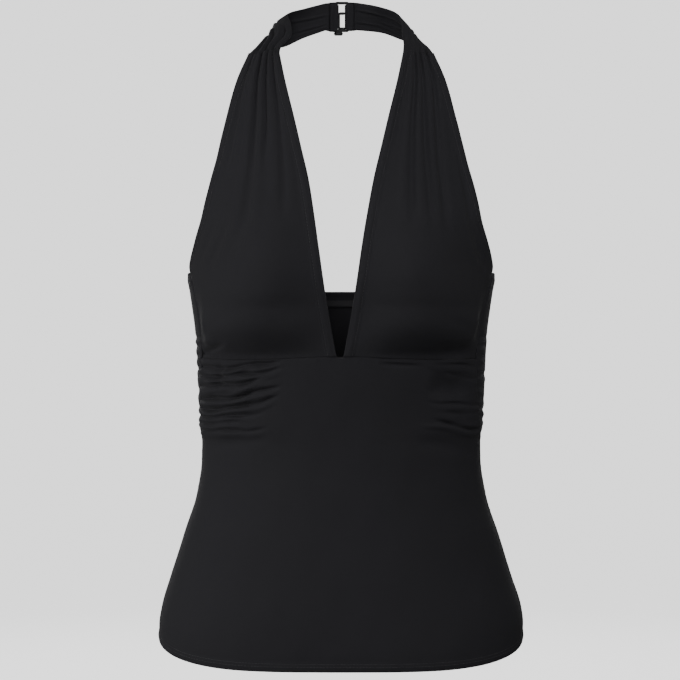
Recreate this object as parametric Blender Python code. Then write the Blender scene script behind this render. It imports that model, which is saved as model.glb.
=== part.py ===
"""A halter neck top: two gathered cups on a neck band, over a body ruched at its sides.

Lengths are millimetres until build_wall() turns them into metres. Heights are measured up
from the hem at the side seams, +X is the wearer's left and -Y the wearer's front. A turn is
an angle round the body from the centre front, positive towards the wearer's left.
"""

import math

import bmesh
import bpy
from mathutils import Vector

MM = 0.001

# Driving dimensions.
WALL = 1.6             # jersey with its turnings
SEAM_GAP = 0.3         # between pieces that are sewn together
UNDERBUST = 280.0      # height of the seam below the cups, at the centre front
UNDERBUST_DROP = 5.0   # how far that seam falls on its way to the side seams
BACK_TOP = 334.0       # height of the back's straight top edge, at the centre back
UNDERARM = 356.0       # height of that edge at the side seams
BACK_RISE = 4.0        # how late that edge rises: 1 is at once, more is nearer the sides
CUP_TOP = 569.0        # height of the seams between the cups and the neck band
CUP_REACH = 0.95       # breadth that a cup's fullness spreads over, as a share of the half width
CUP_LEAN = 1.24        # how far out its fullest line lies: 1 is the middle, more is further out
HEM_DIP = 15.5         # how far the hem hangs below its side seams, front and back
HEM_FLATNESS = 9.0     # how long the dipped stretches run before they rise to the sides

FOLD_FOLLOW = 0.75     # how much of a fold on the face shows on the inside of the wall
RUCHED = (198.0, 279.0)   # heights between which the side seams are ruched
RUCHING_REACH = 4.6    # half the breadth of a ruching fold
RUCHING_CURVE = 1.6    # how late a fold rises on its way inwards
RUCHING_AT_SEAM = 0.55    # how deep a fold starts at the seam, as a share of its depth
RUCHING_DEEPEST = (0.2, 0.4)   # shares of its length between which it is deepest
PUFF = 1.1             # how far the cloth swells between the folds
PUFF_OUT = (45.0, 105.0)   # distances from the centre front over which the swelling grows
PUFF_FOOT = 12.0       # height over which it grows at the bottom
PUFF_HEAD = 6.0        # and dies out below the underbust seam
GATHER_REACH = 0.055   # half the breadth of a gather, as a share of the cup's width
GATHER_FADE = 45.0     # length over which a gather dies out

# Mesh density.
CUP_COLUMNS = 26
CUP_LOW_ROWS = 9       # from the underbust seam up to the underarm
CUP_HIGH_ROWS = 15     # and from there up to the neck band
FRONT_COLUMNS = 22
BACK_COLUMNS = 20
BAND_COLUMNS = 9
BAND_STEPS = 2         # rows in each stretch of a neck band
PLAIN_HEIGHTS = (0.0, 22.0, 44.0, 66.0, 88.0, 110.0, 132.0, 154.0, 174.0, 190.0)
RUCHED_STEP = 2.5
BACK_STEP = 6.5
HEM_FOLLOWED = 110.0   # height up to which the rows follow the hem
TOP_FOLLOWED = 190.0   # height from which they follow the top edge
TOP_EASE = 80.0

# Colours and finishes.
JERSEY = ("black_jersey", (0.012, 0.012, 0.014, 1.0), 0.82, 0.0)
CLASP_COAT = ("black_clasp", (0.010, 0.010, 0.011, 1.0), 0.35, 0.0)


class Table:
    """Named columns over a key column, read through a smooth curve that never overshoots."""

    def __init__(self, columns, rows):
        self.names = columns.split()
        self.keys = [row[0] for row in rows]
        self.columns = {name: [row[i] for row in rows] for i, name in enumerate(self.names)}

    def slope(self, values, i):
        """The curve's slope at row i: none where the values turn back."""
        last = len(values) - 1
        before, after = max(i - 1, 0), min(i + 1, last)
        if i in (0, last):
            return (values[after] - values[before]) / (self.keys[after] - self.keys[before])
        left = (values[i] - values[i - 1]) / (self.keys[i] - self.keys[i - 1])
        right = (values[i + 1] - values[i]) / (self.keys[i + 1] - self.keys[i])
        return 2.0 * left * right / (left + right) if left * right > 0.0 else 0.0

    def at(self, name, key):
        values = self.columns[name]
        key = min(max(key, self.keys[0]), self.keys[-1])
        i = 0
        while i < len(self.keys) - 2 and key > self.keys[i + 1]:
            i += 1
        span = self.keys[i + 1] - self.keys[i]
        t = (key - self.keys[i]) / span
        return ((1 + 2 * t) * (1 - t) ** 2 * values[i] + t * (1 - t) ** 2 * span * self.slope(values, i)
                + t * t * (3 - 2 * t) * values[i + 1] + t * t * (t - 1) * span * self.slope(values, i + 1))


# The body, a section at each height: squareness 2 is an ellipse, more is squarer, and
# fullness is how far each cup stands out over its middle.
BODY = Table(
    "height half_width front back squareness fullness", (
        (-20.0, 177.5, 114.0, 119.0, 2.80, 0.0),
        (0.0, 177.8, 113.5, 118.5, 2.75, 0.0),
        (14.0, 177.9, 112.0, 117.5, 2.70, 0.0),
        (30.0, 175.8, 110.0, 116.0, 2.60, 0.0),
        (60.0, 166.8, 105.5, 111.0, 2.45, 0.0),
        (100.0, 153.9, 100.0, 103.0, 2.35, 0.0),
        (140.0, 141.4, 95.5, 94.0, 2.30, 0.0),
        (175.0, 136.2, 93.5, 87.5, 2.25, 0.0),
        (194.0, 135.9, 93.5, 85.5, 2.25, 0.0),
        (207.0, 138.4, 94.0, 85.0, 2.25, 0.0),
        (240.0, 139.6, 96.5, 86.0, 2.25, 0.0),
        (280.0, 141.2, 101.0, 89.0, 2.25, 0.0),
        (290.0, 141.8, 102.5, 89.8, 2.25, 4.0),
        (300.0, 142.4, 104.0, 90.5, 2.25, 8.0),
        (325.0, 145.6, 108.0, 93.0, 2.25, 15.5),
        (342.0, 148.0, 111.0, 94.0, 2.23, 18.0),
        (356.0, 149.3, 112.4, 95.0, 2.20, 18.5),
        (400.0, 149.6, 108.0, 95.0, 2.20, 13.0),
        (450.0, 141.0, 92.0, 90.0, 2.20, 5.0),
        (500.0, 129.5, 70.0, 80.0, 2.10, 1.0),
        (540.0, 114.0, 50.0, 70.0, 2.00, 0.0),
        (575.0, 98.5, 23.0, 60.0, 2.00, 0.0)))

# How far each side seam lies in front of the body's widest line: the ruching pulls it forward.
SIDE_SEAM = Table(
    "height left right", (
        (-20.0, 0.0, 0.0),
        (110.0, 0.5, 0.5),
        (154.0, 5.0, 4.0),
        (178.0, 12.0, 9.0),
        (200.0, 24.0, 17.0),
        (225.0, 36.0, 25.0),
        (255.0, 43.0, 30.0),
        (290.0, 46.0, 38.0),
        (318.0, 44.5, 40.5),
        (338.0, 39.5, 38.0),
        (356.0, 31.0, 31.0)))

# The free edges of a cup: distances from the centre front.
ARMHOLE = Table(
    "height out", (
        (356.0, 145.3),
        (363.0, 146.2),
        (371.0, 144.8),
        (389.0, 139.4),
        (408.0, 133.2),
        (427.0, 129.0),
        (466.0, 118.9),
        (504.0, 110.1),
        (543.0, 100.0),
        (569.0, 89.2)))

NECKLINE = Table(
    "height out", (
        (280.0, 3.8),
        (296.0, 6.8),
        (311.0, 9.6),
        (343.0, 14.7),
        (380.0, 20.0),
        (408.0, 24.2),
        (447.0, 31.0),
        (475.0, 37.7),
        (503.0, 44.4),
        (543.0, 54.4),
        (569.0, 60.0)))

# Gathers that hang from the seam at the neck band. Shares run from the neckline to the armhole.
GATHER_COLUMNS = "top_share bottom_share top bottom depth"
GATHERS = {
    "left": (
        (0.12, 0.14, 600.0, 470.0, 1.1),
        (0.39, 0.39, 600.0, 395.0, 2.0),
        (0.58, 0.55, 600.0, 390.0, 1.8),
        (0.78, 0.64, 600.0, 385.0, 1.8),
        (0.92, 0.84, 455.0, 335.0, 1.5)),
    "right": (
        (0.22, 0.27, 600.0, 405.0, 1.6),
        (0.42, 0.47, 600.0, 460.0, 1.7),
        (0.61, 0.58, 600.0, 380.0, 2.0),
        (0.84, 0.85, 600.0, 450.0, 1.3),
        (0.72, 0.72, 430.0, 350.0, 0.8)),
}

# Ruching folds, from the side seam to where each dies out towards the centre front.
RUCHING_COLUMNS = "seam_height inner_height inner_out depth"
RUCHING = {
    "left": (
        (267.0, 276.0, 96.0, 1.6),
        (255.0, 274.0, 44.0, 2.2),
        (243.5, 260.0, 62.0, 1.9),
        (232.5, 238.0, 78.0, 2.1),
        (222.0, 231.0, 70.0, 1.6),
        (212.0, 224.0, 56.0, 2.3),
        (202.0, 209.0, 80.0, 1.4)),
    "right": (
        (268.0, 273.0, 102.0, 1.4),
        (257.5, 275.0, 56.0, 2.3),
        (248.5, 267.0, 46.0, 2.3),
        (237.5, 258.0, 40.0, 2.5),
        (227.0, 246.0, 40.0, 2.4),
        (219.5, 226.0, 74.0, 1.7),
        (211.5, 214.0, 88.0, 1.6),
        (204.0, 217.0, 58.0, 2.0)),
}

# The neck band's two edges from above its cup to the nape, and how far it swells between them.
BAND_COLUMNS_READ = "neck_x neck_y neck_height outer_x outer_y outer_height swell"
BANDS = {
    "left": (
        (60.5, -9.0, 578.5, 85.2, 0.0, 575.5, 1.5),
        (59.5, 5.0, 589.0, 79.0, 14.0, 581.5, 3.0),
        (59.0, 20.0, 602.5, 72.0, 29.0, 585.0, 4.0),
        (54.0, 38.0, 613.5, 61.5, 46.0, 587.0, 2.5),
        (37.0, 58.5, 621.8, 41.0, 62.0, 595.5, 1.0),
        (16.0, 69.3, 626.6, 16.0, 69.7, 598.9, 0.0)),
    "right": (
        (58.0, -11.0, 576.5, 83.6, 0.0, 575.5, 1.5),
        (49.0, 4.0, 588.0, 78.4, 13.0, 582.0, 4.0),
        (49.5, 20.0, 601.0, 72.5, 28.0, 586.0, 7.0),
        (52.0, 38.0, 612.6, 60.0, 43.0, 579.5, 10.0),
        (35.0, 58.0, 620.0, 37.5, 60.0, 590.3, 3.0),
        (16.0, 69.3, 626.0, 16.0, 69.7, 598.7, 0.3)),
}

# The band's end, folded round an upright of the clasp.
END_Y = 70.6           # the band's own layer beside the clasp
END_TOP = 624.4        # its upper edge
END_BOTTOM = 600.2     # its lower edge
CLASP_X = 0.8          # the clasp's middle, a little to the wearer's left of the centre
UPRIGHT_X = 6.3        # from there to the middle of each upright
UPRIGHT_SIZE = 1.6     # its thickness
TURN_BACK = 12.6       # where the folded end is stitched down, from the clasp's middle
END_STRAIGHT = (3.0, 2.0)   # straight lengths before the loop and before the stitching
LOOP_STEPS = 6
HOLD = 0.5 * UPRIGHT_SIZE + SEAM_GAP + 0.5 * WALL   # from an upright's middle to the loop's

# The clasp, from the front: an upright in each loop, rungs just above and below the loops,
# a foot below them, and a hook that rises from the bottom rung and ends in a finger.
RUNG = 2.2
FOOT = 3.6
FINGER = 615.7         # the middle of the finger
HOOK_SPAN = (-3.3, 2.9)   # from the back of the hook to the tip of its finger
HOOK_POST = 2.0        # breadth of the hook's own upright
CLASP_BEVEL = 0.35

# Where the garment hangs from the wearer's neck: the middle of the band's inner face.
NAPE = Vector((0.0, END_Y - 2.0 * HOLD - 0.5 * WALL, 0.5 * (END_TOP + END_BOTTOM)))


def smooth(value):
    """0 below 0, 1 above 1, and an even curve between."""
    value = min(max(value, 0.0), 1.0)
    return value * value * (3.0 - 2.0 * value)


def bump(away):
    """1 at 0, falling to 0 at 1 and beyond."""
    return 0.5 + 0.5 * math.cos(math.pi * min(abs(away), 1.0))


def named(columns, row):
    return dict(zip(columns.split(), row))


# The body's surface.

def radius(turn, height):
    power = BODY.at("squareness", height)
    depth = BODY.at("front" if math.cos(turn) > 0.0 else "back", height)
    across = abs(math.sin(turn)) / BODY.at("half_width", height)
    along = abs(math.cos(turn)) / depth
    return (across ** power + along ** power) ** (-1.0 / power)


def fullness(x, height):
    """How far a cup stands out in front of the plain section at x."""
    reach = CUP_REACH * BODY.at("half_width", height)
    share = min(abs(x) / reach, 1.0)
    return BODY.at("fullness", height) * math.sin(math.pi * share ** CUP_LEAN) ** 2


def body_point(turn, height):
    x = radius(turn, height) * math.sin(turn)
    y = -radius(turn, height) * math.cos(turn)
    if math.cos(turn) > 0.0:
        y -= fullness(x, height)
    return Vector((x, y, height))


def body_normal(turn, height):
    """Straight out of the body's surface."""
    sideways = body_point(turn + 0.01, height) - body_point(turn - 0.01, height)
    upwards = body_point(turn, height + 1.0) - body_point(turn, height - 1.0)
    return sideways.cross(upwards).normalized()


def turn_at_x(x, height):
    """The turn at which the front lies x from the centre."""
    power = BODY.at("squareness", height)
    share = (x / BODY.at("half_width", height)) ** power
    return math.atan2(x, BODY.at("front", height) * (1.0 - share) ** (1.0 / power))


def turn_at_depth(depth, height):
    """The turn at which the front lies that far forward of the widest line."""
    power = BODY.at("squareness", height)
    share = (depth / BODY.at("front", height)) ** power
    return math.atan2(BODY.at("half_width", height) * (1.0 - share) ** (1.0 / power), depth)


def edge_turn(side, height):
    """The side seam up to the underarm, and the armhole above it."""
    seam_height = min(height, UNDERARM)
    turn = turn_at_depth(SIDE_SEAM.at(side, seam_height), seam_height)
    if height > UNDERARM:
        turn += turn_at_x(ARMHOLE.at("out", height), height)
        turn -= turn_at_x(ARMHOLE.at("out", UNDERARM), UNDERARM)
    return turn


def gap_turn(turn, height):
    """Half a seam gap, as a turn."""
    return 0.5 * SEAM_GAP / radius(turn, height)


def hem_height(turn):
    return -HEM_DIP * (1.0 - abs(math.sin(turn)) ** HEM_FLATNESS)


def underbust_height(turn):
    return UNDERBUST - UNDERBUST_DROP * smooth(abs(math.sin(turn)))


def back_top_height(turn):
    return BACK_TOP + (UNDERARM - BACK_TOP) * abs(math.sin(turn)) ** BACK_RISE


# Folds, as how far the face of the cloth is raised.

def gather_relief(side, share, height):
    relief = 0.0
    for row in GATHERS[side]:
        fold = named(GATHER_COLUMNS, row)
        run = (fold["top"] - height) / (fold["top"] - fold["bottom"])
        centre = fold["top_share"] + (fold["bottom_share"] - fold["top_share"]) * smooth(run)
        strength = smooth((height - fold["bottom"]) / GATHER_FADE)
        strength *= smooth((fold["top"] - height) / GATHER_FADE)
        relief -= fold["depth"] * strength * bump((share - centre) / GATHER_REACH)
    return relief


def ruching_relief(side, out, seam_out, height):
    relief = 0.0
    deepest, fading = RUCHING_DEEPEST
    for row in RUCHING[side]:
        fold = named(RUCHING_COLUMNS, row)
        run = (seam_out - out) / (seam_out - fold["inner_out"])
        centre = fold["seam_height"]
        centre += (fold["inner_height"] - fold["seam_height"]) * max(run, 0.0) ** RUCHING_CURVE
        strength = RUCHING_AT_SEAM + (1.0 - RUCHING_AT_SEAM) * smooth(run / deepest)
        strength *= 1.0 - smooth((run - fading) / (1.0 - fading))
        relief -= fold["depth"] * strength * bump((height - centre) / RUCHING_REACH)
    low, high = RUCHED
    near, far = PUFF_OUT
    puff = smooth((height - low) / PUFF_FOOT) * smooth((high - height) / PUFF_HEAD)
    return relief + PUFF * puff * smooth((out - near) / (far - near))


# Building.

def material(name, colour, roughness, metallic):
    found = bpy.data.materials.get(name)
    if found:
        return found
    made = bpy.data.materials.new(name)
    made.use_nodes = True
    shader = made.node_tree.nodes["Principled BSDF"]
    shader.inputs["Base Color"].default_value = colour
    shader.inputs["Roughness"].default_value = roughness
    shader.inputs["Metallic"].default_value = metallic
    made.diffuse_color = colour
    return made


def add_object(name, mesh, finish):
    mesh.materials.append(material(*finish))
    piece = bpy.data.objects.new(name, mesh)
    bpy.context.scene.collection.objects.link(piece)
    return piece


def build_wall(name, rows):
    """A closed wall from rows of (point, normal, relief): a face, an inside and a rim."""
    mesh_data = bmesh.new()
    faces, insides = [], []
    for row in rows:
        face, inside = [], []
        for point, normal, relief in row:
            outer = point + normal * (0.5 * WALL + relief) - NAPE
            inner = point - normal * (0.5 * WALL - FOLD_FOLLOW * relief) - NAPE
            face.append(mesh_data.verts.new(outer * MM))
            inside.append(mesh_data.verts.new(inner * MM))
        faces.append(face)
        insides.append(inside)
    last_row, last_column = len(rows) - 1, len(rows[0]) - 1
    for i in range(last_row):
        for j in range(last_column):
            f, g = faces[i], faces[i + 1]
            mesh_data.faces.new((f[j], f[j + 1], g[j + 1], g[j]))
            f, g = insides[i], insides[i + 1]
            mesh_data.faces.new((g[j], g[j + 1], f[j + 1], f[j]))
    for i in range(last_row):
        mesh_data.faces.new((faces[i][0], faces[i + 1][0], insides[i + 1][0], insides[i][0]))
        mesh_data.faces.new((faces[i + 1][last_column], faces[i][last_column],
                             insides[i][last_column], insides[i + 1][last_column]))
    for j in range(last_column):
        mesh_data.faces.new((faces[0][j + 1], faces[0][j], insides[0][j], insides[0][j + 1]))
        mesh_data.faces.new((faces[last_row][j], faces[last_row][j + 1],
                             insides[last_row][j + 1], insides[last_row][j]))
    bmesh.ops.recalc_face_normals(mesh_data, faces=mesh_data.faces)
    mesh = bpy.data.meshes.new(name)
    mesh_data.to_mesh(mesh)
    mesh_data.free()
    mesh.shade_smooth()
    mesh.set_sharp_from_angle(angle=math.radians(40.0))
    return add_object(name, mesh, JERSEY)


def steps(start, stop, size):
    """Heights from start to stop in equal steps no longer than size."""
    count = math.ceil((stop - start) / size - 1e-6)
    return [start + (stop - start) * i / count for i in range(count + 1)]


def shaped_height(nominal, turn, shift):
    """A nominal height moved to follow the hem below, and shifted to meet the edge above."""
    hang = hem_height(turn) * (1.0 - smooth(nominal / HEM_FOLLOWED))
    return nominal + hang + shift * smooth((nominal - TOP_FOLLOWED) / TOP_EASE)


def build_front():
    rows = []
    for nominal in list(PLAIN_HEIGHTS) + steps(RUCHED[0], UNDERBUST, RUCHED_STEP):
        row = []
        right = -edge_turn("right", nominal)
        left = edge_turn("left", nominal)
        for j in range(FRONT_COLUMNS + 1):
            turn = right + (left - right) * j / FRONT_COLUMNS
            shift = underbust_height(turn) - 0.5 * SEAM_GAP - UNDERBUST
            height = shaped_height(nominal, turn, shift)
            side = "left" if turn > 0.0 else "right"
            limit = edge_turn(side, height)
            limit -= gap_turn(limit, height)
            turn *= limit / abs(left if turn > 0.0 else right)
            point = body_point(turn, height)
            seam_out = body_point(limit, height).x
            relief = ruching_relief(side, abs(point.x), seam_out, height)
            row.append((point, body_normal(turn, height), relief))
        rows.append(row)
    return build_wall("front_body", rows)


def build_back():
    rows = []
    for nominal in list(PLAIN_HEIGHTS) + steps(RUCHED[0], BACK_TOP, BACK_STEP):
        row = []
        for j in range(BACK_COLUMNS + 1):
            share = j / BACK_COLUMNS
            turn = math.pi * (0.5 + share)
            height = shaped_height(nominal, turn, back_top_height(turn) - BACK_TOP)
            start = edge_turn("left", height)
            start += gap_turn(start, height)
            end = edge_turn("right", height)
            end = 2.0 * math.pi - end - gap_turn(end, height)
            turn = start + (end - start) * share
            row.append((body_point(turn, height), body_normal(turn, height), 0.0))
        rows.append(row)
    return build_wall("back_panel", rows)


def cup_station(side, share, height):
    """The turn on a cup at a share of the way from its neckline to its outer edge."""
    inner = turn_at_x(NECKLINE.at("out", height), height)
    outer = edge_turn(side, height)
    if height <= UNDERARM:
        outer -= gap_turn(outer, height)
    return (inner + (outer - inner) * share) * (1.0 if side == "left" else -1.0)


def build_cup(side):
    rows = []
    for i in range(CUP_LOW_ROWS + CUP_HIGH_ROWS + 1):
        row = []
        for j in range(CUP_COLUMNS + 1):
            share = j / CUP_COLUMNS
            foot = underbust_height(cup_station(side, share, UNDERBUST)) + 0.5 * SEAM_GAP
            height = foot + (UNDERARM - foot) * i / CUP_LOW_ROWS
            if i > CUP_LOW_ROWS:
                height = UNDERARM + (CUP_TOP - UNDERARM) * (i - CUP_LOW_ROWS) / CUP_HIGH_ROWS
            turn = cup_station(side, share, height)
            relief = gather_relief(side, share, height)
            row.append((body_point(turn, height), body_normal(turn, height), relief))
        rows.append(row)
    return build_wall(side + "_cup", rows)


def spline(points, t):
    """A point on the smooth curve through the points, t counting them from 0."""
    i = min(int(t), len(points) - 2)
    t -= i
    before = points[max(i - 1, 0)]
    a, b = points[i], points[i + 1]
    after = points[min(i + 2, len(points) - 1)]
    return 0.5 * (2.0 * a + (b - before) * t + (2.0 * before - 5.0 * a + 4.0 * b - after) * t * t
                  + (3.0 * a - before - 3.0 * b + after) * t * t * t)


def band_end_path():
    """The folded end from above: along the band's layer, round the upright and back again."""
    before, after = END_STRAIGHT
    path = [(UPRIGHT_X + before, END_Y)]
    for i in range(LOOP_STEPS + 1):
        angle = math.pi * (0.5 + i / LOOP_STEPS)
        path.append((UPRIGHT_X + HOLD * math.cos(angle), END_Y - HOLD + HOLD * math.sin(angle)))
    path.append((UPRIGHT_X + UPRIGHT_SIZE, END_Y - 2.0 * HOLD))
    near = END_Y - WALL - SEAM_GAP
    path.append((TURN_BACK - after, near))
    path.append((TURN_BACK, near))
    return path


def build_band(side):
    flip = 1.0 if side == "left" else -1.0
    seam, seam_normals = [], []
    for j in range(BAND_COLUMNS + 1):
        turn = cup_station(side, j / BAND_COLUMNS, CUP_TOP)
        rise = (body_point(turn, CUP_TOP + 1.0) - body_point(turn, CUP_TOP - 1.0)).normalized()
        seam.append(body_point(turn, CUP_TOP) + rise * SEAM_GAP)
        seam_normals.append(body_normal(turn, CUP_TOP))
    neck, outer, swells = [seam[0]], [seam[-1]], [0.0]
    for row in BANDS[side]:
        at = named(BAND_COLUMNS_READ, row)
        neck.append(Vector((flip * at["neck_x"], at["neck_y"], at["neck_height"])))
        outer.append(Vector((flip * at["outer_x"], at["outer_y"], at["outer_height"])))
        swells.append(at["swell"])
    lines = []
    for i in range(BAND_STEPS * (len(neck) - 1) + 1):
        t = i / BAND_STEPS
        lines.append((spline(neck, t), spline(outer, t), spline(swells, t), max(1.0 - t, 0.0)))
    for out, y in band_end_path():
        x = CLASP_X + flip * out
        lines.append((Vector((x, y, END_TOP)), Vector((x, y, END_BOTTOM)), 0.0, 0.0))
    grid = []
    for a, b, _, blend in lines:
        row = []
        for j in range(BAND_COLUMNS + 1):
            share = j / BAND_COLUMNS
            arc = seam[j] - seam[0].lerp(seam[-1], share)
            row.append(a.lerp(b, share) + arc * blend)
        grid.append(row)
    rows = []
    last = len(grid) - 1
    for i, row in enumerate(grid):
        out = []
        for j, point in enumerate(row):
            along = grid[min(i + 1, last)][j] - grid[max(i - 1, 0)][j]
            across = row[min(j + 1, BAND_COLUMNS)] - row[max(j - 1, 0)]
            normal = across.cross(along).normalized() * flip
            if i == 0:
                normal = seam_normals[j]
            share = j / BAND_COLUMNS
            swell = lines[i][2] * 4.0 * share * (1.0 - share)
            out.append((point + normal * swell, normal, 0.0))
        rows.append(out)
    return build_wall("neck_band_" + side, rows)


def build_clasp():
    """A flat plate cut to shape, as the filled cells of a small grid."""
    half = 0.5 * UPRIGHT_SIZE
    back, tip = HOOK_SPAN
    xs = (-UPRIGHT_X - half, -UPRIGHT_X + half, back, back + HOOK_POST, tip,
          UPRIGHT_X - half, UPRIGHT_X + half)
    low, high = END_BOTTOM - SEAM_GAP, END_TOP + SEAM_GAP
    zs = (low - RUNG - FOOT, low - RUNG, low, FINGER - 0.5 * RUNG, FINGER + 0.5 * RUNG,
          high, high + RUNG)
    across, upright, post, finger = tuple(range(6)), (0, 5), (2,), (2, 3)
    rungs = (across[:4], across, upright + post, upright + finger, upright, across)
    filled = [(i, k) for k, columns in enumerate(rungs) for i in columns]
    plate = bmesh.new()
    corners = {}

    def corner(i, k, depth):
        key = (i, k, depth)
        if key not in corners:
            place = Vector((CLASP_X + xs[i], END_Y - HOLD + depth, zs[k])) - NAPE
            corners[key] = plate.verts.new(place * MM)
        return corners[key]

    for i, k in filled:
        ring = ((i, k), (i + 1, k), (i + 1, k + 1), (i, k + 1))
        for depth in (-half, half):
            plate.faces.new([corner(a, b, depth) for a, b in ring])
        sides = (((i - 1, k), (i, k), (i, k + 1)), ((i + 1, k), (i + 1, k), (i + 1, k + 1)),
                 ((i, k - 1), (i, k), (i + 1, k)), ((i, k + 1), (i, k + 1), (i + 1, k + 1)))
        for neighbour, a, b in sides:
            if neighbour not in filled:
                plate.faces.new((corner(*a, -half), corner(*b, -half),
                                 corner(*b, half), corner(*a, half)))
    bmesh.ops.recalc_face_normals(plate, faces=plate.faces)
    mesh = bpy.data.meshes.new("neck_clasp")
    plate.to_mesh(mesh)
    plate.free()
    piece = add_object("neck_clasp", mesh, CLASP_COAT)
    rounding = piece.modifiers.new("rounding", "BEVEL")
    rounding.width = CLASP_BEVEL * MM
    rounding.segments = 1
    rounding.limit_method = "ANGLE"
    return piece


def main():
    for item in list(bpy.data.objects):
        bpy.data.objects.remove(item, do_unlink=True)
    build_front()
    build_back()
    for side in ("left", "right"):
        build_cup(side)
        build_band(side)
    build_clasp()


main()
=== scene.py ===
"""A black jersey halter neck top, as it is filled out when worn: its cloth, seams and clasp.

Lengths are millimetres until a mesh is made. Heights are measured up from the hem at the side
seams, +X is the wearer's left and -Y the wearer's front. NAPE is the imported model's origin.
"""

import math

import bpy
import numpy as np
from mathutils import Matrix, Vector


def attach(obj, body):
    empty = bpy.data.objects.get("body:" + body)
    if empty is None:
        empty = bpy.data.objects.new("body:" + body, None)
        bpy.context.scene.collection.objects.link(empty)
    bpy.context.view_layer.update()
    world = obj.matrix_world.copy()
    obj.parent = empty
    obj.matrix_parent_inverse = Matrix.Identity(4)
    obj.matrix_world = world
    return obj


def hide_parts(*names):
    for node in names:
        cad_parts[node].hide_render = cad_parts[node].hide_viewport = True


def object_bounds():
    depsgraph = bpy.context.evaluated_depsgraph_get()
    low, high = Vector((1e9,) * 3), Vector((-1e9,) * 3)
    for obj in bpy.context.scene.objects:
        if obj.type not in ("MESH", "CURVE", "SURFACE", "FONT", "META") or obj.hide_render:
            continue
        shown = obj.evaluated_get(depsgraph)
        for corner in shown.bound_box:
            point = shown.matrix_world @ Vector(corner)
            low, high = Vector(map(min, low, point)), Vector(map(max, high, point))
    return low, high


MM = 0.001
NAPE = np.array((0.0, 66.0, 612.3))

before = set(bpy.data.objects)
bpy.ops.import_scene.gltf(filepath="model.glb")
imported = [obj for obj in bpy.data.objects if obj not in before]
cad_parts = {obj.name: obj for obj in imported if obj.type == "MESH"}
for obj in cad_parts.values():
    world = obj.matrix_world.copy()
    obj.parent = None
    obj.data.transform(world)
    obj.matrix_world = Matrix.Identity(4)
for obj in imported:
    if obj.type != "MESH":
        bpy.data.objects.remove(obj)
cad_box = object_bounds()

# ---- camera

CAMERA_DISTANCE = 2.2        # from the body's widest line, metres
CAMERA_HEIGHT = -0.2138      # in the model's frame, metres
CAMERA_ASIDE = -0.0012
CAMERA_TILT = math.radians(2.805)
CAMERA_LENS = 118.85
SENSOR = 36.0


def make_camera():
    data = bpy.data.cameras.new("camera")
    data.lens = CAMERA_LENS
    data.sensor_width = SENSOR
    camera = bpy.data.objects.new("camera", data)
    camera.location = (CAMERA_ASIDE, -(CAMERA_DISTANCE + NAPE[1] * MM), CAMERA_HEIGHT)
    camera.rotation_euler = (math.pi / 2.0 - CAMERA_TILT, 0.0, 0.0)
    bpy.context.scene.collection.objects.link(camera)
    bpy.context.scene.camera = camera


# ---- lights and background

WORLD_GREY = 0.058
STAGE_GREY = 0.25
STAGE_GLOW = 1.66     # the background's own light, so that it is even

LIGHT_AIM = (0.0, -0.1)      # every light aims at the body's middle, at its own height

# name, azimuth and elevation in degrees, distance and aimed height in metres, size, watts
LIGHTS = (
    ("key", -20.0, 60.0, 3.0, -0.34, 1.0, 18.5),
    ("left", -74.0, 13.0, 1.7, -0.60, 0.6, 16.8),
    ("front", -3.0, 3.0, 2.4, -0.40, 0.6, 25.5),
    ("right", 42.0, 36.0, 1.35, -0.12, 0.5, 5.2),
    ("neck", 52.0, 12.0, 0.9, 0.02, 0.3, 1.1),
    ("behind_left", -163.0, 10.0, 2.2, -0.35, 0.8, 17.0),
    ("behind_right", 163.0, 10.0, 2.2, -0.35, 0.8, 14.0),
)


def make_lights():
    for name, azimuth, elevation, distance, aimed_height, size, watts in LIGHTS:
        data = bpy.data.lights.new(name, "AREA")
        data.size = size
        data.energy = watts
        lamp = bpy.data.objects.new(name, data)
        turn, rise = math.radians(azimuth), math.radians(elevation)
        away = Vector((math.sin(turn) * math.cos(rise), -math.cos(turn) * math.cos(rise),
                       math.sin(rise)))
        lamp.location = Vector((*LIGHT_AIM, aimed_height)) + distance * away
        lamp.rotation_mode = "QUATERNION"
        lamp.rotation_quaternion = away.to_track_quat("Z", "Y")
        lamp.visible_camera = False
        bpy.context.scene.collection.objects.link(lamp)
    world = bpy.data.worlds.new("studio")
    world.use_nodes = True
    background = world.node_tree.nodes["Background"]
    background.inputs["Color"].default_value = (WORLD_GREY, WORLD_GREY, WORLD_GREY, 1.0)
    bpy.context.scene.world = world


FLOOR_DROP = 0.35      # from the hem down to the floor
FLOOR_RADIUS = 3.4     # of its flat part
COVE = 1.2             # radius of the curve from the floor up to the wall
WALL_TOP = 4.5
STAGE_TURNS = 96
COVE_STEPS = 12


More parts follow.
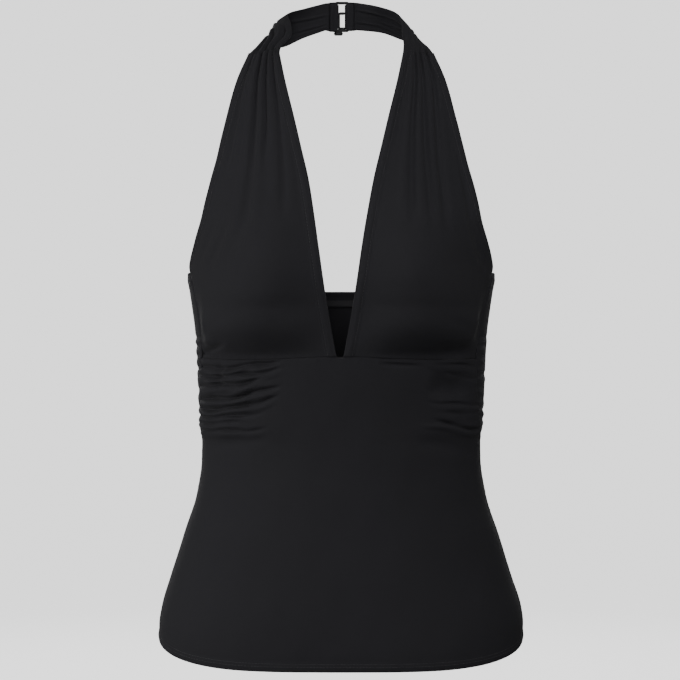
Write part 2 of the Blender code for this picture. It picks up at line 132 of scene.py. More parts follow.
def make_stage():
    """A pale round floor that curves up into a wall all round."""
    low = float(cad_box[0].z) - FLOOR_DROP
    profile = [(0.0, low), (FLOOR_RADIUS, low)]
    for i in range(1, COVE_STEPS + 1):
        turn = 0.5 * math.pi * i / COVE_STEPS
        profile.append((FLOOR_RADIUS + COVE * math.sin(turn), low + COVE - COVE * math.cos(turn)))
    profile.append((FLOOR_RADIUS + COVE, low + WALL_TOP))
    points = [(0.0, 0.0, low)]
    for out, height in profile[1:]:
        for k in range(STAGE_TURNS):
            turn = 2.0 * math.pi * k / STAGE_TURNS
            points.append((out * math.cos(turn), out * math.sin(turn), height))
    around = [(k, (k + 1) % STAGE_TURNS) for k in range(STAGE_TURNS)]
    faces = [(0, 1 + k, 1 + after) for k, after in around]
    for i in range(len(profile) - 2):
        near, far = 1 + i * STAGE_TURNS, 1 + (i + 1) * STAGE_TURNS
        faces += [(near + k, far + k, far + after, near + after) for k, after in around]
    mesh = bpy.data.meshes.new("stage")
    mesh.from_pydata(points, [], faces)
    mesh.shade_smooth()
    paint = bpy.data.materials.new("stage_grey")
    paint.use_nodes = True
    shader = paint.node_tree.nodes["Principled BSDF"]
    shader.inputs["Base Color"].default_value = (STAGE_GREY, STAGE_GREY, STAGE_GREY, 1.0)
    shader.inputs["Roughness"].default_value = 0.95
    shader.inputs["Emission Color"].default_value = (1.0, 1.0, 1.0, 1.0)
    shader.inputs["Emission Strength"].default_value = STAGE_GLOW
    mesh.materials.append(paint)
    stage = bpy.data.objects.new("stage", mesh)
    stage.visible_diffuse = False
    stage.visible_glossy = False
    stage.visible_shadow = False
    bpy.context.scene.collection.objects.link(stage)


# ---- the form
# These values and tables are the CAD's, apart from NECKLINE_ASIDE and the finer LOOP_STEPS.

WALL = 1.6
SEAM_GAP = 0.3
UNDERBUST = 280.0
UNDERBUST_DROP = 5.0
BACK_TOP = 334.0
UNDERARM = 356.0
BACK_RISE = 4.0
CUP_TOP = 569.0
CUP_REACH = 0.95
CUP_LEAN = 1.24
HEM_DIP = 15.5
HEM_FLATNESS = 9.0
HEM_FOLLOWED = 110.0
TOP_FOLLOWED = 190.0
TOP_EASE = 80.0


def smooth(value):
    """0 below 0, 1 above 1, and an even curve between."""
    value = np.clip(value, 0.0, 1.0)
    return value * value * (3.0 - 2.0 * value)


def bump(away):
    """1 at 0, falling to 0 at 1 and beyond."""
    return 0.5 + 0.5 * np.cos(np.pi * np.clip(np.abs(away), 0.0, 1.0))


class Table:
    """Named columns over a key column, read through a smooth curve that never overshoots."""

    def __init__(self, columns, rows):
        data = np.array(rows, float).T
        self.keys = data[0]
        self.columns = dict(zip(columns.split(), data))
        self.slopes = {name: self.slope(values) for name, values in self.columns.items()}

    def slope(self, values):
        steps = np.diff(values) / np.diff(self.keys)
        before, after = steps[:-1], steps[1:]
        total = np.where(before * after > 0.0, before + after, 1.0)
        inner = np.where(before * after > 0.0, 2.0 * before * after / total, 0.0)
        return np.concatenate((steps[:1], inner, steps[-1:]))

    def at(self, name, key):
        values, slopes = self.columns[name], self.slopes[name]
        key = np.clip(key, self.keys[0], self.keys[-1])
        i = np.clip(np.searchsorted(self.keys, key) - 1, 0, len(self.keys) - 2)
        span = self.keys[i + 1] - self.keys[i]
        t = (key - self.keys[i]) / span
        return ((1 + 2 * t) * (1 - t) ** 2 * values[i] + t * (1 - t) ** 2 * span * slopes[i]
                + t * t * (3 - 2 * t) * values[i + 1] + t * t * (t - 1) * span * slopes[i + 1])


BODY = Table(
    "height half_width front back squareness fullness", (
        (-20, 177.5, 114, 119, 2.80, 0),
        (0, 177.8, 113.5, 118.5, 2.75, 0),
        (14, 177.9, 112, 117.5, 2.70, 0),
        (30, 175.8, 110, 116, 2.60, 0),
        (60, 166.8, 105.5, 111, 2.45, 0),
        (100, 153.9, 100, 103, 2.35, 0),
        (140, 141.4, 95.5, 94, 2.30, 0),
        (175, 136.2, 93.5, 87.5, 2.25, 0),
        (194, 135.9, 93.5, 85.5, 2.25, 0),
        (207, 138.4, 94, 85, 2.25, 0),
        (240, 139.6, 96.5, 86, 2.25, 0),
        (280, 141.2, 101, 89, 2.25, 0),
        (290, 141.8, 102.5, 89.8, 2.25, 4),
        (300, 142.4, 104, 90.5, 2.25, 8),
        (325, 145.6, 108, 93, 2.25, 15.5),
        (342, 148, 111, 94, 2.23, 18),
        (356, 149.3, 112.4, 95, 2.20, 18.5),
        (400, 149.6, 108, 95, 2.20, 13),
        (450, 141, 92, 90, 2.20, 5),
        (500, 129.5, 70, 80, 2.10, 1),
        (540, 114, 50, 70, 2.00, 0),
        (575, 98.5, 23, 60, 2.00, 0)))

SIDE_SEAM = Table(
    "height left right", (
        (-20, 0, 0), (110, 0.5, 0.5), (154, 5, 4), (178, 12, 9),
        (200, 24, 17), (225, 36, 25), (255, 43, 30), (290, 46, 38),
        (318, 44.5, 40.5), (338, 39.5, 38), (356, 31, 31)))

ARMHOLE = Table(
    "height out", (
        (356, 145.3), (363, 146.2), (371, 144.8), (389, 139.4), (408, 133.2),
        (427, 129), (466, 118.9), (504, 110.1), (543, 100), (569, 89.2)))

NECKLINE = Table(
    "height out", (
        (280, 3.8), (296, 6.8), (311, 9.6), (343, 14.7), (380, 20),
        (408, 24.2), (447, 31), (475, 37.7), (503, 44.4), (543, 54.4),
        (569, 60)))

# How far the neckline's lower end lies towards the wearer's right of the middle.
NECKLINE_ASIDE = Table(
    "height aside", (
        (280, 1.2), (380, 1.1), (450, 0.2), (569, 0)))

BAND_COLUMNS_READ = "neck_x neck_y neck_height outer_x outer_y outer_height swell"
BANDS = {
    "left": (
        (60.5, -9, 578.5, 85.2, 0, 575.5, 1.5),
        (59.5, 5, 589, 79, 14, 581.5, 3),
        (59, 20, 602.5, 72, 29, 585, 4),
        (54, 38, 613.5, 61.5, 46, 587, 2.5),
        (37, 58.5, 621.8, 41, 62, 595.5, 1),
        (16, 69.3, 626.6, 16, 69.7, 598.9, 0)),
    "right": (
        (58, -11, 576.5, 83.6, 0, 575.5, 1.5),
        (49, 4, 588, 78.4, 13, 582, 4),
        (49.5, 20, 601, 72.5, 28, 586, 7),
        (52, 38, 612.6, 60, 43, 579.5, 10),
        (35, 58, 620, 37.5, 60, 590.3, 3),
        (16, 69.3, 626, 16, 69.7, 598.7, 0.3)),
}
END_Y = 70.6
END_TOP = 624.4
END_BOTTOM = 600.2
CLASP_X = 0.8
UPRIGHT_X = 6.3
UPRIGHT_SIZE = 1.6
TURN_BACK = 12.6
END_STRAIGHT = (3.0, 2.0)
LOOP_STEPS = 12
HOLD = 0.5 * UPRIGHT_SIZE + SEAM_GAP + 0.5 * WALL


def radius(turn, height):
    power = BODY.at("squareness", height)
    front = np.cos(turn) > 0.0
    depth = np.where(front, BODY.at("front", height), BODY.at("back", height))
    across = np.abs(np.sin(turn)) / BODY.at("half_width", height)
    along = np.abs(np.cos(turn)) / depth
    return (across ** power + along ** power) ** (-1.0 / power)


def fullness(x, height):
    reach = CUP_REACH * BODY.at("half_width", height)
    share = np.clip(np.abs(x) / reach, 0.0, 1.0)
    return BODY.at("fullness", height) * np.sin(np.pi * share ** CUP_LEAN) ** 2


def body_point(turn, height):
    out = radius(turn, height)
    x = out * np.sin(turn)
    y = -out * np.cos(turn)
    y = y - np.where(np.cos(turn) > 0.0, fullness(x, height), 0.0)
    return np.stack(np.broadcast_arrays(x, y, height), -1)


def unit(vectors):
    return vectors / np.maximum(np.linalg.norm(vectors, axis=-1, keepdims=True), 1e-9)


def body_normal(turn, height):
    sideways = body_point(turn + 0.01, height) - body_point(turn - 0.01, height)
    upwards = body_point(turn, height + 1.0) - body_point(turn, height - 1.0)
    return unit(np.cross(sideways, upwards))


def turn_at_x(x, height):
    power = BODY.at("squareness", height)
    share = (x / BODY.at("half_width", height)) ** power
    return np.arctan2(x, BODY.at("front", height) * (1.0 - share) ** (1.0 / power))


def turn_at_depth(depth, height):
    power = BODY.at("squareness", height)
    share = (depth / BODY.at("front", height)) ** power
    return np.arctan2(BODY.at("half_width", height) * (1.0 - share) ** (1.0 / power), depth)


def edge_turn(side, height):
    """The side seam up to the underarm, and the armhole above it."""
    height = np.asarray(height, float)
    seam_height = np.minimum(height, UNDERARM)
    turn = turn_at_depth(SIDE_SEAM.at(side, seam_height), seam_height)
    arm_height = np.maximum(height, UNDERARM)
    arm = turn_at_x(ARMHOLE.at("out", arm_height), arm_height)
    corner = turn_at_x(ARMHOLE.at("out", UNDERARM), UNDERARM)
    return turn + np.where(height > UNDERARM, arm - corner, 0.0)


def gap_turn(turn, height):
    return 0.5 * SEAM_GAP / radius(turn, height)


def hem_height(turn):
    return -HEM_DIP * (1.0 - np.abs(np.sin(turn)) ** HEM_FLATNESS)


def underbust_height(turn):
    return UNDERBUST - UNDERBUST_DROP * smooth(np.abs(np.sin(turn)))


def back_top_height(turn):
    return BACK_TOP + (UNDERARM - BACK_TOP) * np.abs(np.sin(turn)) ** BACK_RISE


def shaped_height(nominal, turn, shift):
    hang = hem_height(turn) * (1.0 - smooth(nominal / HEM_FOLLOWED))
    return nominal + hang + shift * smooth((nominal - TOP_FOLLOWED) / TOP_EASE)


def spread(*stretches):
    """Stations from stretches of (start, stop, count), each stop being the next one's start."""
    parts = [np.linspace(start, stop, count, endpoint=False) for start, stop, count in stretches]
    return np.concatenate(parts + [[stretches[-1][1]]])


# ---- sheets of cloth

CLOTH = 1.3            # two layers of jersey, as in the cups, or one with its turnings
FOLD_FOLLOW = 0.9      # how much of a fold on the face shows on the inside
RIM_STEPS = 4
SEAM_CLOSE = 0.5 * SEAM_GAP + 0.02
SEAM_ROUNDNESS = 0.35  # of a sewn edge, where a free one is half round
FLAT_ROUNDNESS = 0.08  # and where its seam lies flat


class Sheet:
    """A grid of points on a form, the way out of it and what raises the cloth there.

    At the edges, reach is how far the cloth goes beyond the form's edge, and roundness is 1 for
    a half-round rim and 0 for a square one.
    """

    def __init__(self, name, points, normals, thickness=CLOTH):
        self.name = name
        self.points = points
        self.normals = normals
        self.thickness = thickness
        self.relief = np.zeros(points.shape[:2])
        self.lining = np.zeros(points.shape[:2])
        self.reach = np.zeros(points.shape[:2])
        self.roundness = np.ones(points.shape[:2])
        along = np.linalg.norm(np.diff(points, axis=0), axis=-1)
        across = np.linalg.norm(np.diff(points, axis=1), axis=-1)
        up = np.pad(np.cumsum(along, axis=0), ((1, 0), (0, 0)))
        aside = np.pad(np.cumsum(across, axis=1), ((0, 0), (1, 0)))
        self.away = {"bottom": up, "top": up[-1:] - up, "start": aside, "end": aside[:, -1:] - aside}
        middle = aside[:, aside.shape[1] // 2, None]
        self.uv = np.stack((aside - middle, up), -1) * MM

    def face(self):
        return self.points + self.normals * (0.5 * self.thickness + self.relief)[..., None]

    def inside(self):
        depth = 0.5 * self.thickness + self.lining - FOLD_FOLLOW * self.relief
        return self.points - self.normals * depth[..., None]


def facing(grid, edge):
    """The grid turned so that the edge is its first row."""
    if edge == "top":
        return grid[::-1]
    if edge == "start":
        return np.swapaxes(grid, 0, 1)
    if edge == "end":
        return np.swapaxes(grid, 0, 1)[::-1]
    return grid


def from_edge(sheet, surface, edge, distances):
    """Rows of a sheet's surface at distances in from one of its edges, or out where below 0."""
    rows, away = facing(surface, edge), facing(sheet.away[edge], edge)
    found = np.empty((len(distances), rows.shape[1], 3))
    for j in range(rows.shape[1]):
        for axis in range(3):
            found[:, j, axis] = np.interp(distances, away[:, j], rows[:, j, axis])
    outwards = unit(rows[0] - rows[3])
    beyond = np.maximum(-np.asarray(distances), 0.0)
    return found + outwards * beyond[:, None, None]


def boundary(rows, columns):
    """The grid places round the edge, in order."""
    loop = [(0, j) for j in range(columns)] + [(i, columns - 1) for i in range(1, rows)]
    loop += [(rows - 1, j) for j in range(columns - 2, -1, -1)]
    loop += [(i, 0) for i in range(rows - 2, 0, -1)]
    return np.array(loop).T


def outward(points, i, j):
    """In the cloth's surface, the way out of it at each place round its edge."""
    rows, columns = points.shape[:2]
    here = points[i, j]
    up = here - points[np.clip(i, 1, rows - 2), j]
    aside = here - points[i, np.clip(j, 1, columns - 2)]
    return unit(unit(up) + unit(aside))


def sheet_object(sheet, paint):
    """A thin closed shell with rounded edges."""
    face, inside = sheet.face(), sheet.inside()
    rows, columns = face.shape[:2]
    i, j = boundary(rows, columns)
    out = outward(sheet.points, i, j)
    half = 0.5 * (face[i, j] - inside[i, j])
    middle = 0.5 * (face[i, j] + inside[i, j])
    inset = np.linalg.norm(half, axis=-1, keepdims=True) * sheet.roundness[i, j][:, None]
    reach = sheet.reach[i, j][:, None]
    face[i, j] += out * (reach - inset)
    inside[i, j] += out * (reach - inset)
    rims = []
    for k in range(1, RIM_STEPS):
        angle = math.pi * k / RIM_STEPS
        rims.append(middle + half * math.cos(angle) + out * (reach + inset * (math.sin(angle) - 1.0)))
    vertices = np.concatenate([face.reshape(-1, 3), inside.reshape(-1, 3)] + rims)
    grid = np.arange(rows * columns).reshape(rows, columns)
    over = np.stack((grid[:-1, :-1], grid[:-1, 1:], grid[1:, 1:], grid[1:, :-1]), -1).reshape(-1, 4)
    edge = grid[i, j]
    rings = [edge] + [2 * rows * columns + k * len(edge) + np.arange(len(edge))
                      for k in range(RIM_STEPS - 1)] + [edge + rows * columns]
    quads = [over, over[:, ::-1] + rows * columns]
    for first, second in zip(rings[:-1], rings[1:]):
        quads.append(np.stack((np.roll(first, -1), first, second, np.roll(second, -1)), -1))
    faces = np.concatenate(quads)
    if turns_inwards(vertices[over], sheet.normals[:-1, :-1].reshape(-1, 3)):
        faces = faces[:, ::-1]
    flat = sheet.uv.reshape(-1, 2)
    uv = np.concatenate([flat, flat] + [flat[edge]] * (RIM_STEPS - 1))
    return mesh_object(sheet.name, vertices, faces, paint, uv)


def turns_inwards(corners, normals):
    """Whether most faces look the other way from the cloth's face."""
    looks = np.cross(corners[:, 1] - corners[:, 0], corners[:, 3] - corners[:, 0])
    return np.sum(looks * normals) < 0.0


def joined(parts):
    """The vertices and faces of several meshes as one."""
    vertices, faces, total = [], [], 0
    for more, quads in parts:
        vertices.append(more)
        faces.append(quads + total)
        total += len(more)
    return np.concatenate(vertices), np.concatenate(faces)


def mesh_object(name, vertices, faces, paint, uv=None):
    """A piece. A triangle is given as a face that names one corner twice."""
    mesh = bpy.data.meshes.new(name)
    corners = [tuple(dict.fromkeys(face)) for face in faces.tolist()]
    mesh.from_pydata(((vertices - NAPE) * MM).tolist(), [], corners)
    if uv is not None:
        layer = mesh.uv_layers.new(name="cloth")
        used = np.empty(len(mesh.loops), np.int32)
        mesh.loops.foreach_get("vertex_index", used)
        layer.uv.foreach_set("vector", uv[used].astype(np.float32).ravel())
    mesh.materials.append(paint)
    mesh.shade_smooth()
    made = bpy.data.objects.new(name, mesh)
    bpy.context.scene.collection.objects.link(made)
    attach(made, "root")
    return made


# ---- edges and seams

EDGE_TURNING = 8.5     # breadth of the turned edges of the neckline and armholes
HEM_TURNING = 8.0
BACK_TURNING = 14.5
EDGE_STITCHES = (7.4,)     # how far from the edge each row of stitches runs
HEM_STITCHES = (4.6, 7.4)
BACK_STITCHES = (12.8,)
BACK_REACH = 1.4
TURNING_RAISE = 0.3    # how much thicker the doubled edge looks from the face
TURNING_LAYER = 0.8    # and from the inside
TURNING_SWELL = 0.5    # how far it rounds out between its edge and its stitches
SWELL_SPREAD = 0.45    # half of its breadth, as a share of the turning's
TURNING_FALL = 1.4     # length over which the doubling ends, on the face
LAYER_FALL = 0.7       # and inside
OVERLOCK = 0.5         # how far the overlocked end of a turning stands out inside
OVERLOCK_INSET = 1.3   # from the turning's end to the middle of its overlocking
OVERLOCK_REACH = 1.6
STITCH_DENT = 0.22
DENT_REACH = 0.9
SEAM_DIP = 0.45        # how far the cloth sinks into a seam
SHALLOW_DIP = 0.08     # and into one that lies flat
SEAM_REACH = 2.4
SEAM_CURVE = 1.5       # how late the cloth turns down into a seam
PUCKER = 6.5           # length of one pucker along a seam
PUCKER_DEPTH = 0.10
PUCKER_SPAN = (1.5, 9.0)    # from the seam to where puckers have come up, and to their end
SLOWER_PUCKER = (0.7, 1.5)  # depth and length of the slower ones among them, as shares
HOLLOW = 1.5           # depth of the soft hollow along the seam under the bust
HOLLOW_REACH = 18.0
HOLLOW_START = 30.0    # distance from the centre front where it starts
HOLLOW_RISE = 60.0     # length over which it grows from there
HEM_REACH = 0.5        # how far each free edge reaches beyond the form's
NECKLINE_REACH = 0.6
V_FOOT = 1.6           # how far the body's edge dips at the foot of the neckline
V_FOOT_REACH = 6.5
ARMHOLE_REACH = 1.1


def turn_edge(sheet, edge, width, stitch_rows, reach, share=1.0):
    """Doubles a free edge: it is raised, dented by its stitches and overlocked inside."""
    away = sheet.away[edge]
    share = share * np.ones(away.shape)
    facing(sheet.reach, edge)[0] += reach * facing(share, edge)[0]
    sheet.relief += share * TURNING_RAISE * (1.0 - smooth((away - width) / TURNING_FALL))
    sheet.relief += share * TURNING_SWELL * bump((away - 0.5 * width) / (SWELL_SPREAD * width))
    for row in stitch_rows:
        sheet.relief -= share * STITCH_DENT * bump((away - row) / DENT_REACH)
    sheet.lining += share * TURNING_LAYER * (1.0 - smooth((away - width) / LAYER_FALL))
    sheet.lining += share * OVERLOCK * bump((away - width + OVERLOCK_INSET) / OVERLOCK_REACH)


def sew_edge(sheet, edge, dip=SEAM_DIP, seed=0.0, share=1.0):
    """Sinks the cloth into a seam, with the slight puckers of its stitches."""
    away = sheet.away[edge]
    share = share * np.ones(away.shape)
    sheet.relief -= share * dip * (1.0 - smooth(away / SEAM_REACH)) ** SEAM_CURVE
    run = sheet.away["start" if edge in ("bottom", "top") else "bottom"]
    wave = np.sin(2.0 * np.pi * run / PUCKER + seed)
    depth, length = SLOWER_PUCKER
    wave = wave + depth * np.sin(2.0 * np.pi * run / (length * PUCKER) + 2.0 * seed)
    full, end = PUCKER_SPAN
    sheet.relief += share * PUCKER_DEPTH * wave * (1.0 - smooth(away / end)) * smooth(away / full)
    facing(sheet.reach, edge)[0] += SEAM_CLOSE * facing(share, edge)[0]
    roundness = SEAM_ROUNDNESS if dip > SHALLOW_DIP else FLAT_ROUNDNESS
    facing(sheet.roundness, edge)[0] -= (1.0 - roundness) * facing(share, edge)[0]


# ---- folds

# Gathers that hang from the seam at the neck band. Shares run from the neckline to the armhole,
# and reach is half of a fold's breadth, as a share of the cup's width.
GATHER_COLUMNS = "top_share bottom_share top bottom depth reach"
GATHERS = {
    "left": (
        (0.12, 0.14, 600, 455, 1, 0.055),
        (0.39, 0.39, 600, 392, 2, 0.060),
        (0.56, 0.55, 600, 388, 1.9, 0.052),
        (0.78, 0.66, 600, 382, 2.2, 0.058),
        (0.92, 0.85, 480, 335, 1.5, 0.055)),
    "right": (
        (0.24, 0.27, 600, 400, 1.5, 0.060),
        (0.43, 0.46, 600, 445, 1.6, 0.052),
        (0.61, 0.59, 600, 378, 2.3, 0.062),
        (0.85, 0.86, 600, 436, 1.2, 0.052),
        (0.62, 0.63, 430, 350, 0.6, 0.045),
        (0.73, 0.73, 430, 345, 0.8, 0.045),
        (0.84, 0.85, 425, 350, 0.6, 0.045)),
}
GATHER_FADE = 45.0
RIDGE_AWAY = 1.4       # the ridges beside a gather, as shares of its own reach and depth
RIDGE_BREADTH = 1.2
RIDGE_HEIGHT = 0.36
OUTER_PUFF = (108.0, 318.0, 52.0, 5.5)   # x, height, reach and depth of the cup's outer fullness
LOWER_PUFF = (306.0, 26.0, 4.0)          # height, reach and depth of the fullness along its foot
LOWER_PUFF_FADE = 40.0   # from the neckline
PUFF_FADE = 24.0       # from the cup's outer edge
FINE_GATHERS = 11      # small gathers caught in the seam at the neck band
FINE_LENGTH = 50.0
FINE_SEEDS = {"left": 11, "right": 24}

# Ruching folds, from the side seam to where each dies out towards the centre front.
RUCHING_COLUMNS = "seam_height inner_height inner_out depth"
RUCHING = {
    "left": (
        (268, 273, 90, 2),
        (257, 263, 96, 0.8),
        (231, 236.5, 82, 2.2),
        (222, 228, 96, 0.8),
        (207, 219.5, 86, 2.8)),
    "right": (
        (266, 275.5, 58, 4),
        (258, 268, 58, 4.8),
        (249, 259, 72, 4.6),
        (235.5, 252, 58, 5.8),
        (226, 241, 62, 5.4),
        (219, 226, 76, 3.2),
        (213, 217, 92, 2.8),
        (206, 211, 70, 2.4)),
}
RUCHED = (198.0, 279.0)
RUCHING_REACH = 3.0
RUCHING_CURVE = 1.6
RUCHING_RIDGE = 0.5    # height of the ridge below a fold, as a share of its depth
RIDGE_ABOVE = 0.6      # height of the one above it, as a share of that
RIDGE_SPREAD = 1.6     # their reach, as a share of the fold's
RUCHING_AT_SEAM = 0.6  # share of its depth that a fold has at the seam
RUCHING_RISE = 0.2     # share of its length over which it deepens
RUCHING_END = (0.6, 0.5)    # share of its length where it starts to fade, and over how much
RUCHING_SWAY = 7.0     # a fold sways by 1 mm, in waves 2 pi times this long
RUCHING_BEAT = (0.3, 4.6)   # how much its depth varies, in waves as many times longer
PUFF = 1.1
PUFF_FOOT = 12.0       # height over which the puff between the folds grows at the bottom
PUFF_HEAD = 6.0        # and dies out at the top
PUFF_OUT = (45.0, 60.0)     # from the centre front to where it starts, and length of its rise

# Creases and puffs: from one place to another, each as x and height. Reach is half a crease's
# breadth, and below is how much of it lies under its line, where above is 1.
CREASE_COLUMNS = "from_x from_height to_x to_height depth reach below"
CREASE_FADE = 18.0     # length over which an end comes up from nothing
CREASES = {
    "front_body": (
        (72, 270.5, 42, 272.5, 1.6, 3.2, 1),
        (117, 245, 88, 250, 7, 26, 0.5),
        (118, 241, 92, 242.5, -0.8, 3.4, 1),
        (98, 211.5, 78, 213.5, -0.9, 4, 1),
        (92, 266, 80, 272, -0.9, 4, 1),
        (-128, 246, -120, 252, -2.2, 9, 1),
        (-116, 249, -115, 270, 2.6, 6, 1),
        (-132, 262, -112, 266, 1.8, 4, 1),
        (-96, 265, -62, 274, 1.8, 3, 1),
        (-128, 190, -70, 204, 0.7, 10, 1),
        (126, 186, 76, 198, 0.8, 10, 1)),
    "left_cup": (
        (119, 283, 92, 285, 3.4, 14, 1),
        (128, 300, 96, 318, 0.6, 8, 1)),
    "right_cup": (
        (-134, 279.5, -113, 289, 3.4, 4, 1),
        (-126, 291, -119, 295, -3, 8, 1),
        (-108, 288, -104, 292, -1.2, 5, 1),
        (-124, 306, -100, 322, 0.5, 8, 1)),
}

# Slack folds across the small of the back and near its side seams.
BACK_FOLDS = (
    (-96.0, 252.0, -30.0, 240.0, 1.4, 8.0, 0.7),
    (34.0, 236.0, 98.0, 247.0, 1.5, 8.0, 0.7),
    (-84.0, 222.0, 40.0, 214.0, 1.6, 9.0, 0.6),
    (-30.0, 196.0, 88.0, 204.0, 1.3, 9.0, 0.7),
    (-112.0, 206.0, -64.0, 196.0, 1.2, 7.0, 0.7),
    (70.0, 182.0, 112.0, 176.0, 1.0, 8.0, 0.7))
BACK_RUCHING = 11
BACK_RUCHED = (196.0, 300.0)
BACK_RUCHING_LENGTH = 46.0
BACK_RUCHING_REACH = 3.9
BACK_BEHIND = 30.0     # behind the widest line, over which the back's folds come up
TOP_CURL = 0.9         # how far the back's top edge leans in
CORNER_TUCK = 9.0      # breadth of its corners, tucked in under the armholes
CORNER_DROP = 1.6
CURL_REACH = 5.0
CORNER_SINK = (0.7, 12.0)   # how deep the tucked corners lie, and how far down
ELASTIC = (0.10, 7.0)  # depth and reach of the ripples below the top edge's turning
ELASTIC_LENGTHS = (7.3, 1.9)   # a wave's length, and another's divided by 2 pi


def rows_of(columns, rows):
    return [dict(zip(columns.split(), row)) for row in rows]


def fine_gathers(side):
    """Where each small gather starts, how it drifts, its length and its depth."""
    dice = np.random.default_rng(FINE_SEEDS[side])
    found = []
    for k in range(FINE_GATHERS):
        found.append({
            "share": (k + 0.5 + dice.uniform(-0.3, 0.3)) / FINE_GATHERS,
            "drift": dice.uniform(-0.04, 0.04),
            "length": FINE_LENGTH * dice.uniform(0.4, 1.6),
            "depth": dice.uniform(0.2, 0.8),
            "reach": dice.uniform(0.40, 0.62) / FINE_GATHERS})
    return found


def gather_relief(side, share, height):
    relief = np.zeros(np.broadcast(share, height).shape)
    for fold in rows_of(GATHER_COLUMNS, GATHERS[side]):
        run = (fold["top"] - height) / (fold["top"] - fold["bottom"])
        centre = fold["top_share"] + (fold["bottom_share"] - fold["top_share"]) * smooth(run)
        strength = smooth((height - fold["bottom"]) / GATHER_FADE)
        strength = strength * smooth((fold["top"] - height) / GATHER_FADE)
        away = (share - centre) / fold["reach"]
        ridges = (bump((away - RIDGE_AWAY) / RIDGE_BREADTH)
                  + bump((away + RIDGE_AWAY) / RIDGE_BREADTH))
        relief += fold["depth"] * strength * (RIDGE_HEIGHT * ridges - bump(away))
    for fold in fine_gathers(side):
        run = (CUP_TOP - height) / fold["length"]
        away = (share - fold["share"] - fold["drift"] * run) / fold["reach"]
        relief -= fold["depth"] * (1.0 - smooth(run)) * bump(away)
    return relief


def ruching_relief(side, out, seam_out, height):
    relief = np.zeros_like(height)
    for fold in rows_of(RUCHING_COLUMNS, RUCHING[side]):
        run = (seam_out - out) / (seam_out - fold["inner_out"])
        centre = fold["seam_height"]
        centre = centre + (fold["inner_height"] - centre) * np.maximum(run, 0.0) ** RUCHING_CURVE
        centre = centre + np.sin(out / RUCHING_SWAY + fold["seam_height"])
        deepening = RUCHING_AT_SEAM + (1.0 - RUCHING_AT_SEAM) * smooth(run / RUCHING_RISE)
        strength = deepening * (1.0 - smooth((run - RUCHING_END[0]) / RUCHING_END[1]))
        beat, beat_length = RUCHING_BEAT
        wave = np.sin(out / beat_length + 2.0 * fold["seam_height"])
        strength = strength * (1.0 - beat + beat * wave)
        away = (height - centre) / RUCHING_REACH
        ridge = bump(away / RIDGE_SPREAD + 1.0) + RIDGE_ABOVE * bump(away / RIDGE_SPREAD - 1.0)
        ridge = RUCHING_RIDGE * ridge
        relief += fold["depth"] * strength * (ridge - bump(away))
    low, high = RUCHED
    puff = smooth((height - low) / PUFF_FOOT) * smooth((high - height) / PUFF_HEAD)
    return relief + PUFF * puff * smooth((out - PUFF_OUT[0]) / PUFF_OUT[1])


def hollow(sheet, edge):
    """The soft hollow along the seam under the bust, which the middle doesn't have."""
    sides = smooth((np.abs(sheet.points[..., 0]) - HOLLOW_START) / HOLLOW_RISE)
    return HOLLOW * bump(sheet.away[edge] / HOLLOW_REACH) * sides


def crease(x, height, row):
    """A soft trough from one place to another, or a puff where its depth is below 0."""
    fold = dict(zip(CREASE_COLUMNS.split(), row))
    start = np.array((fold["from_x"], fold["from_height"]))
    along = np.array((fold["to_x"], fold["to_height"])) - start
    length = np.linalg.norm(along)
    along = along / length
    aside_x, aside_height = x - start[0], height - start[1]
    run = aside_x * along[0] + aside_height * along[1]
    off = aside_height * along[0] - aside_x * along[1]
    off = off * np.sign(along[0])
    off = np.where(off < 0.0, off / fold["below"], off)
    ends = smooth(0.5 + run / CREASE_FADE) * smooth(0.5 + (length - run) / CREASE_FADE)
    return -fold["depth"] * ends * bump(off / fold["reach"])


def unevenness(x, height, seed):
    """The slight waves that no worn cloth is without."""
    waves = ((61.0, 0.9, 0.16), (43.0, 2.2, 0.10), (88.0, 1.5, 0.20), (29.0, 2.7, 0.06))
    relief = np.zeros(np.broadcast(x, height).shape)
    for i, (length, angle, size) in enumerate(waves):
        run = x * math.cos(angle + seed) + height * math.sin(angle + seed)
        relief += size * np.sin(2.0 * np.pi * run / length + 1.7 * i + seed)
    return relief


# ---- the pieces of cloth

